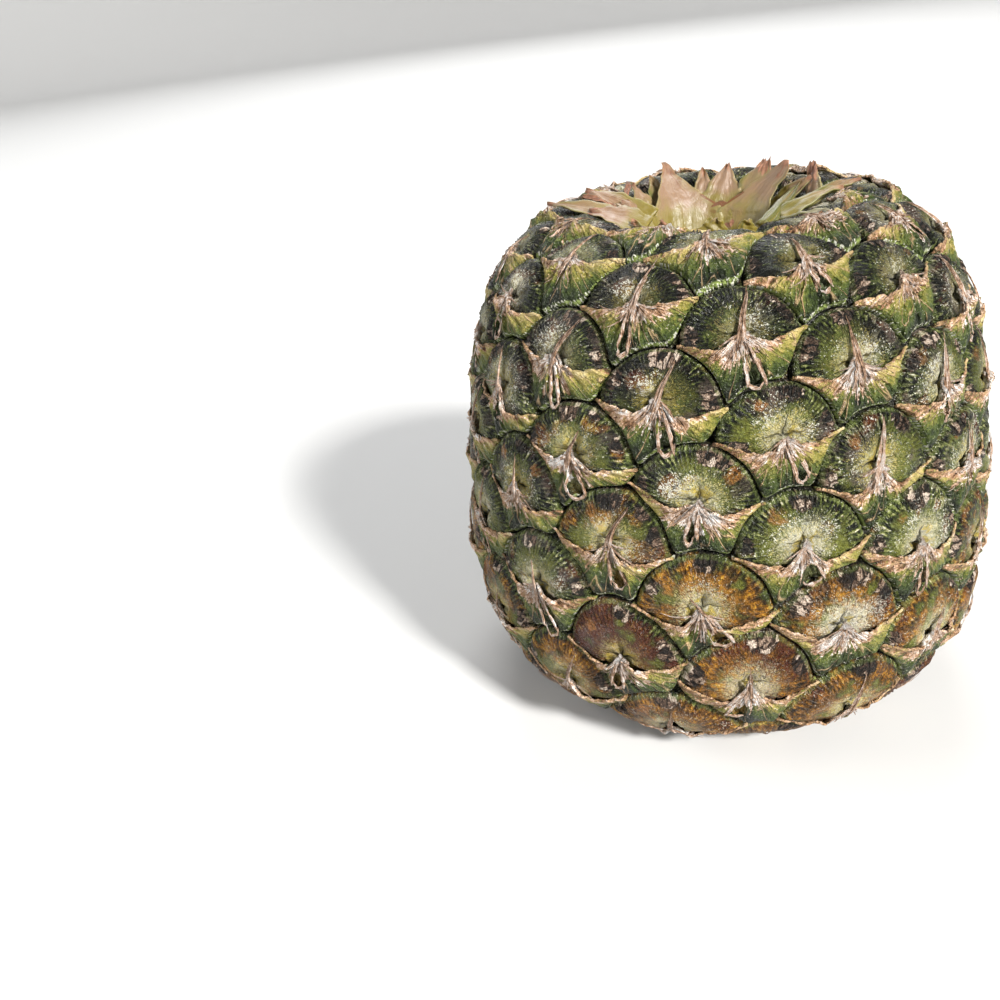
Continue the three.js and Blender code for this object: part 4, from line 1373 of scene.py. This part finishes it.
# Each other leaf base: its foot and its tip (bearing, radius, height), width, fullness, arch, greenness, dryness,
# its end, and how far it is rolled about its length, in degrees
leaves = (
    ((-45, 15.6, 115.0), (31, 23.5, 118.8), 3.6, 1.6, 0.6, 0.55, 0.0, "point", 0),
    ((-66, 16.8, 113.6), (-66, 17.2, 117.4), 6.5, 1.0, 0.2, 0.10, -0.4, "torn", 0),
    ((-92, 16.6, 113.6), (-88, 16.6, 118.2), 8.5, 1.3, 0.2, 0.05, -0.4, "torn", 0),
    ((-128, 17.0, 113.6), (-131, 17.2, 117.8), 7.5, 1.0, 0.2, 0.75, 0.30, "point", 0),
    ((-176, 15.2, 113.0), (175, 21.4, 119.2), 10.0, 1.7, 0.9, 0.12, 0.0, "torn", 25),
    ((144, 19.0, 113.0), (143, 24.4, 120.6), 7.0, 2.0, 0.5, 0.25, 0.12, "point", 0),
    ((172, 21.0, 117.4), (143, 25.6, 121.0), 2.2, 1.6, 0.2, 0.00, 1.00, "torn", 0),
    ((98, 19.3, 113.0), (96, 24.9, 121.4), 7.4, 1.2, 0.5, 0.10, 0.10, "point", 0),
    ((85, 18.6, 112.5), (82, 25.0, 121.9), 12.0, 1.25, 0.3, 0.05, 0.10, "point", 0),
    ((63, 19.2, 112.8), (61, 26.2, 122.6), 9.5, 1.7, 0.7, 0.65, 0.25, "torn", 0),
    ((37, 19.0, 113.0), (26, 24.8, 120.2), 7.5, 1.4, 0.6, 0.50, 0.05, "point", 0),
    ((-20, 17.2, 115.8), (1, 28.5, 119.4), 6.5, 1.3, 1.3, 0.70, 0.08, "point", -22),
    ((128, 19.4, 113.2), (128, 25.3, 121.4), 6.0, 2.0, 0.5, 0.75, 0.12, "point", 0),
    ((-148, 17.6, 113.8), (-150, 20.6, 117.4), 7.0, 1.3, 0.3, 0.50, 0.15, "torn", 0),
    ((-155, 18.5, 115.8), (-171, 28.6, 119.0), 9.5, 2.4, 0.7, 0.00, 0.14, "torn", 24),
    ((-162, 21.0, 116.6), (179, 38.8, 120.2), 7.5, 1.6, 1.0, 0.40, 0.10, "point", 22),
    ((-178, 17.5, 115.2), (165, 31.4, 121.2), 10.0, 1.5, 1.2, 0.10, 0.10, "point", 34),
    ((-176, 21.0, 117.2), (174, 30.8, 121.0), 3.4, 1.3, 0.8, 0.00, 1.00, "point", 0),
    ((20, 24.0, 117.6), (37, 29.0, 122.2), 4.6, 1.3, 0.3, 0.05, 0.85, "torn", 0),
    ((6, 21.5, 116.4), (8, 33.0, 120.0), 5.0, 1.4, 0.8, 0.50, 0.12, "point", -15),
    ((-34, 20.5, 116.4), (-45, 36.0, 118.6), 5.6, 1.4, 1.0, 0.80, 0.05, "point", 0),
)


def cupRings():                                 # radius, height, roughness and depth of pits
    rim, high, loose = cup["rimRadius"], cup["rimHeight"], cup["loose"]
    slant = (rim - cup["floorRadius"] - cup["wall"]) / (high - cup["underside"])
    for share in np.linspace(0, 1, cup["outerRings"]):
        level = cup["underside"] + (high - cup["underside"]) * share
        yield rim - slant * (high - level) - cup["clearance"], level, loose["outside"], 0
    yield rim - cup["wall"] * 0.5, high + cup["rimSwell"], loose["rim"], 0.3
    for share in np.linspace(0, 1, cup["innerRings"]):
        radius = rim - cup["wall"] + (cup["floorRadius"] - rim + cup["wall"]) * share
        yield radius, high + (cup["floorHeight"] + cup["floorBend"] - high) * share, loose["inside"], 0
    for radius in np.linspace(cup["floorRadius"] - 0.8, 0.9, cup["floorRings"]):
        yield radius, cup["floorHeight"], loose["floor"], cup["pitDepth"] * smooth(*cup["pitEdge"], radius)


def makeCup():
    random = np.random.default_rng(leafPlan["seed"])
    around = np.linspace(0, full, cup["around"], endpoint=False)
    folds = [random.normal(0, 1, 5) for _ in cup["waves"]]
    rings = []
    for level, (radius, high, loose, pits) in enumerate(cupRings()):
        wave = sum(fold[0] * np.sin(n * around + fold[1] * 3 + level * fold[2] * 0.12)
                   for n, fold in zip(cup["waves"], folds)) * loose * 0.5
        jitter = random.normal(0, 1, len(around))
        jitter = (jitter + np.roll(jitter, 1) + np.roll(jitter, -1)) / 3
        wide = np.maximum(radius + wave + jitter * loose * 0.3, 0.4)
        pitted = pits * (0.8 * jitter + 0.5 * np.sin(5 * around + level * 1.7) * (level % 3 - 1))
        rings.append(circled(wide, around, high + pitted))
    return makeStack("crownCup", rings, (cup["underside"], cup["floorHeight"] - 0.4), paints["cup"])


def finishLeaf(number, sides, across, share, greenness, dryness, luck, burnt):
    rows, columns = burnt.shape
    total = rows * columns
    inner = gridFaces(0, rows, columns)
    faces = [side for face in inner for side in ((face[0], *face[:0:-1]), tuple(total + i for i in face))]
    rim = list(range(columns)) + [row * columns + columns - 1 for row in range(1, rows)]
    rim += [(rows - 1) * columns + column for column in range(columns - 2, -1, -1)]
    rim += [row * columns for row in range(rows - 2, 0, -1)]
    faces += [(after, here, total + here, total + after) for here, after in pairs(rim)]
    same = np.ones(total * 2)
    layers = {"sheet": np.stack([np.tile(across, rows * 2), np.tile(np.repeat(share, columns), 2), luck * same], 1),
              "tone": np.stack([greenness * same, dryness * same, np.repeat([0.0, 1.0], total)], 1),
              "burnt": np.tile(burnt.ravel(), 2)}
    points = np.concatenate([grid.reshape(-1, 3) for grid in sides])
    return makeMesh(f"leafBase{number:02d}", points, faces, layers, paints["leaf"])


def makeLeaf(number, foot, tip, width, fullness, arch, greenness, dryness, end, roll):
    random = np.random.default_rng((leafPlan["seed"], number))
    rows, columns, ripple = leafPlan["rows"], leafPlan["columns"], leafPlan["ripple"]
    first, last = (circled(radius, math.radians(bearing), height) for bearing, radius, height in (foot, tip))
    length = np.linalg.norm(last - first)
    ahead = unit(last - first)
    level = unit(np.array([-first[1], first[0], 0]))
    side = unit(level - ahead * (level @ ahead))
    face = np.cross(ahead, side)                # up, or in towards the axis
    roll = math.radians(roll)
    side, face = side * math.cos(roll) - face * math.sin(roll), face * math.cos(roll) + side * math.sin(roll)
    steps = np.linspace(-leafPlan["rootDepth"] / length, 1, rows)[:, None]
    share, across = np.clip(steps, 0, 1), np.linspace(-1, 1, columns)
    left, ragged = leafPlan["ends"][end]
    wave = random.uniform(0, 6.28, 6)
    rag = ragged * (np.sin(across * 6 + wave[0]) + 0.7 * np.sin(across * 14 + wave[1]) - 0.6)
    pulled = (steps + rag * smooth(0.3, 1, share) * 0.5) * length
    rough = 1 + 0.08 * np.sin(share * 9 + wave[2] + across * 2) + 0.05 * np.sin(share * 23 + wave[3])
    wide = across * width / 2 * (1 - (1 - left) * share ** fullness) * rough
    thick = np.interp(share, (0, 1), leafPlan["thick"]) * (1 - 0.7 * across ** 2)
    waves = np.sin(share * 7 + wave[4] + across * 2.5) * share + 0.4 * np.sin(across * 7 + wave[5] + share * 4)
    waves = waves + 0.3 * np.sin(share * 21 + wave[3] + across * 4)
    raised = leafPlan["curl"] * wide ** 2 + ripple * waves + arch * 4 * share * (1 - share)
    sides = [first + ahead * pulled[..., None] + side * wide[..., None] + face * high[..., None]
             for high in (raised - thick, raised)]
    burnt = np.zeros((rows, columns))
    return finishLeaf(number, sides, across, share.ravel(), greenness, dryness, random.random(), burnt)


def bowlRadius(high):                           # the cup's inner wall, and the leaves' slope above it
    rim, (above, radius) = cup["rimHeight"], leafPlan["bowlTop"]
    return np.interp(high, (cup["floorHeight"] + cup["floorBend"], rim, rim + above),
                     (cup["floorRadius"], cup["rimRadius"] - cup["wall"], radius))


def makeBowlLeaf(number, left, right, greenness, dryness):
    random = np.random.default_rng((leafPlan["seed"], number))
    rows, columns = leafPlan["bowlRows"], leafPlan["bowlColumns"]
    share = np.linspace(0, 1, rows)[:, None]
    across = np.linspace(-1, 1, columns)
    high = left[0][1] + (left[-1][1] - left[0][1]) * share
    first, last = (np.interp(high, *zip(*[point[::-1] for point in edge])) for edge in (left, right))
    wave = random.uniform(0, 6.28, 4)
    bearing = first + (last - first) * (across + 1) / 2
    bearing = bearing + 0.5 * np.sin(high * 2.1 + wave[0]) + 0.3 * np.sin(high * 5.3 + wave[1])
    radius = bowlRadius(high) - leafPlan["bowlInset"][number] + 0.12 * np.sin(bearing * 0.35 + wave[2] + high * 0.3)
    radius = radius + 0.25 * np.sin(high * 0.9 + bearing * 0.06 + wave[3]) * share
    thick = np.interp(high, *leafPlan["bowlThick"]) * (1 - 0.75 * across ** 4)
    burnt = np.zeros((rows, columns))
    if number in leafPlan["notchSide"]:
        edge = {"first": first, "last": last}[leafPlan["notchSide"][number]]
        away = np.abs(bearing - edge) * math.pi / 180 * radius
        low, top = leafPlan["notch"]
        burnt = smooth(low, low + 0.5, high) * (1 - smooth(top - 1.0, top, high))
        burnt = burnt * (1 - smooth(*leafPlan["notchWidth"], away))
    else:
        burnt = burnt + smooth(*leafPlan["tornFrom"], high)
    grids = [circled(wide, np.radians(bearing), high)[:, ::-1] for wide in (radius + thick, radius)]
    return finishLeaf(number, grids, across, share.ravel(), greenness, dryness, random.random(), burnt[:, ::-1])


settle(makeCup(), "crown_stub")
for number, leaf in bowlLeaves.items():
    settle(makeBowlLeaf(number, *leaf), f"crown_leaf_{number:02d}")
for number, leaf in enumerate(leaves, 4):
    settle(makeLeaf(number, *leaf), f"crown_leaf_{number:02d}")

# The stalk's cut end, underneath

stalk = {
    "rings": ((3.0, 0.5), (7.0, 0.25), (10.5, 0.05), (12.4, 0), (13.1, 0), (13.4, 0.5), (13.4, 3.0), (13.2, 6.0),
              (13.4, 8.9), (12.9, 9.3), (6.0, 9.3)),   # radius and height
    "radius": 13.4,
    "clearance": 0.1,
    "around": 72,
    "groove": 0.35,
    "lumps": (0.25, 7, 0.6),                    # height, count, and how far up they reach
}


def makeStalk():
    around = np.linspace(0, full, stalk["around"], endpoint=False)
    groove = stalk["groove"] * (np.sin(around * 11) * 0.5 + np.sin(around * 29 + 1) * 0.5)
    lump, count, reach = stalk["lumps"]
    rings = []
    for radius, high in stalk["rings"]:
        wide = np.minimum(radius + groove * (radius / stalk["radius"]) ** 3 - stalk["clearance"], stalk["radius"])
        lumps = lump * np.abs(np.sin(around * count + radius)) * (0 < high < reach)
        rings.append(circled(wide, around, high + lumps))
    return makeStack("stalkEnd", rings, (stalk["rings"][0][1], stalk["rings"][-1][1]), paints["stalk"])


settle(makeStalk(), "fruit_stem")
print("crown and stalk ready")
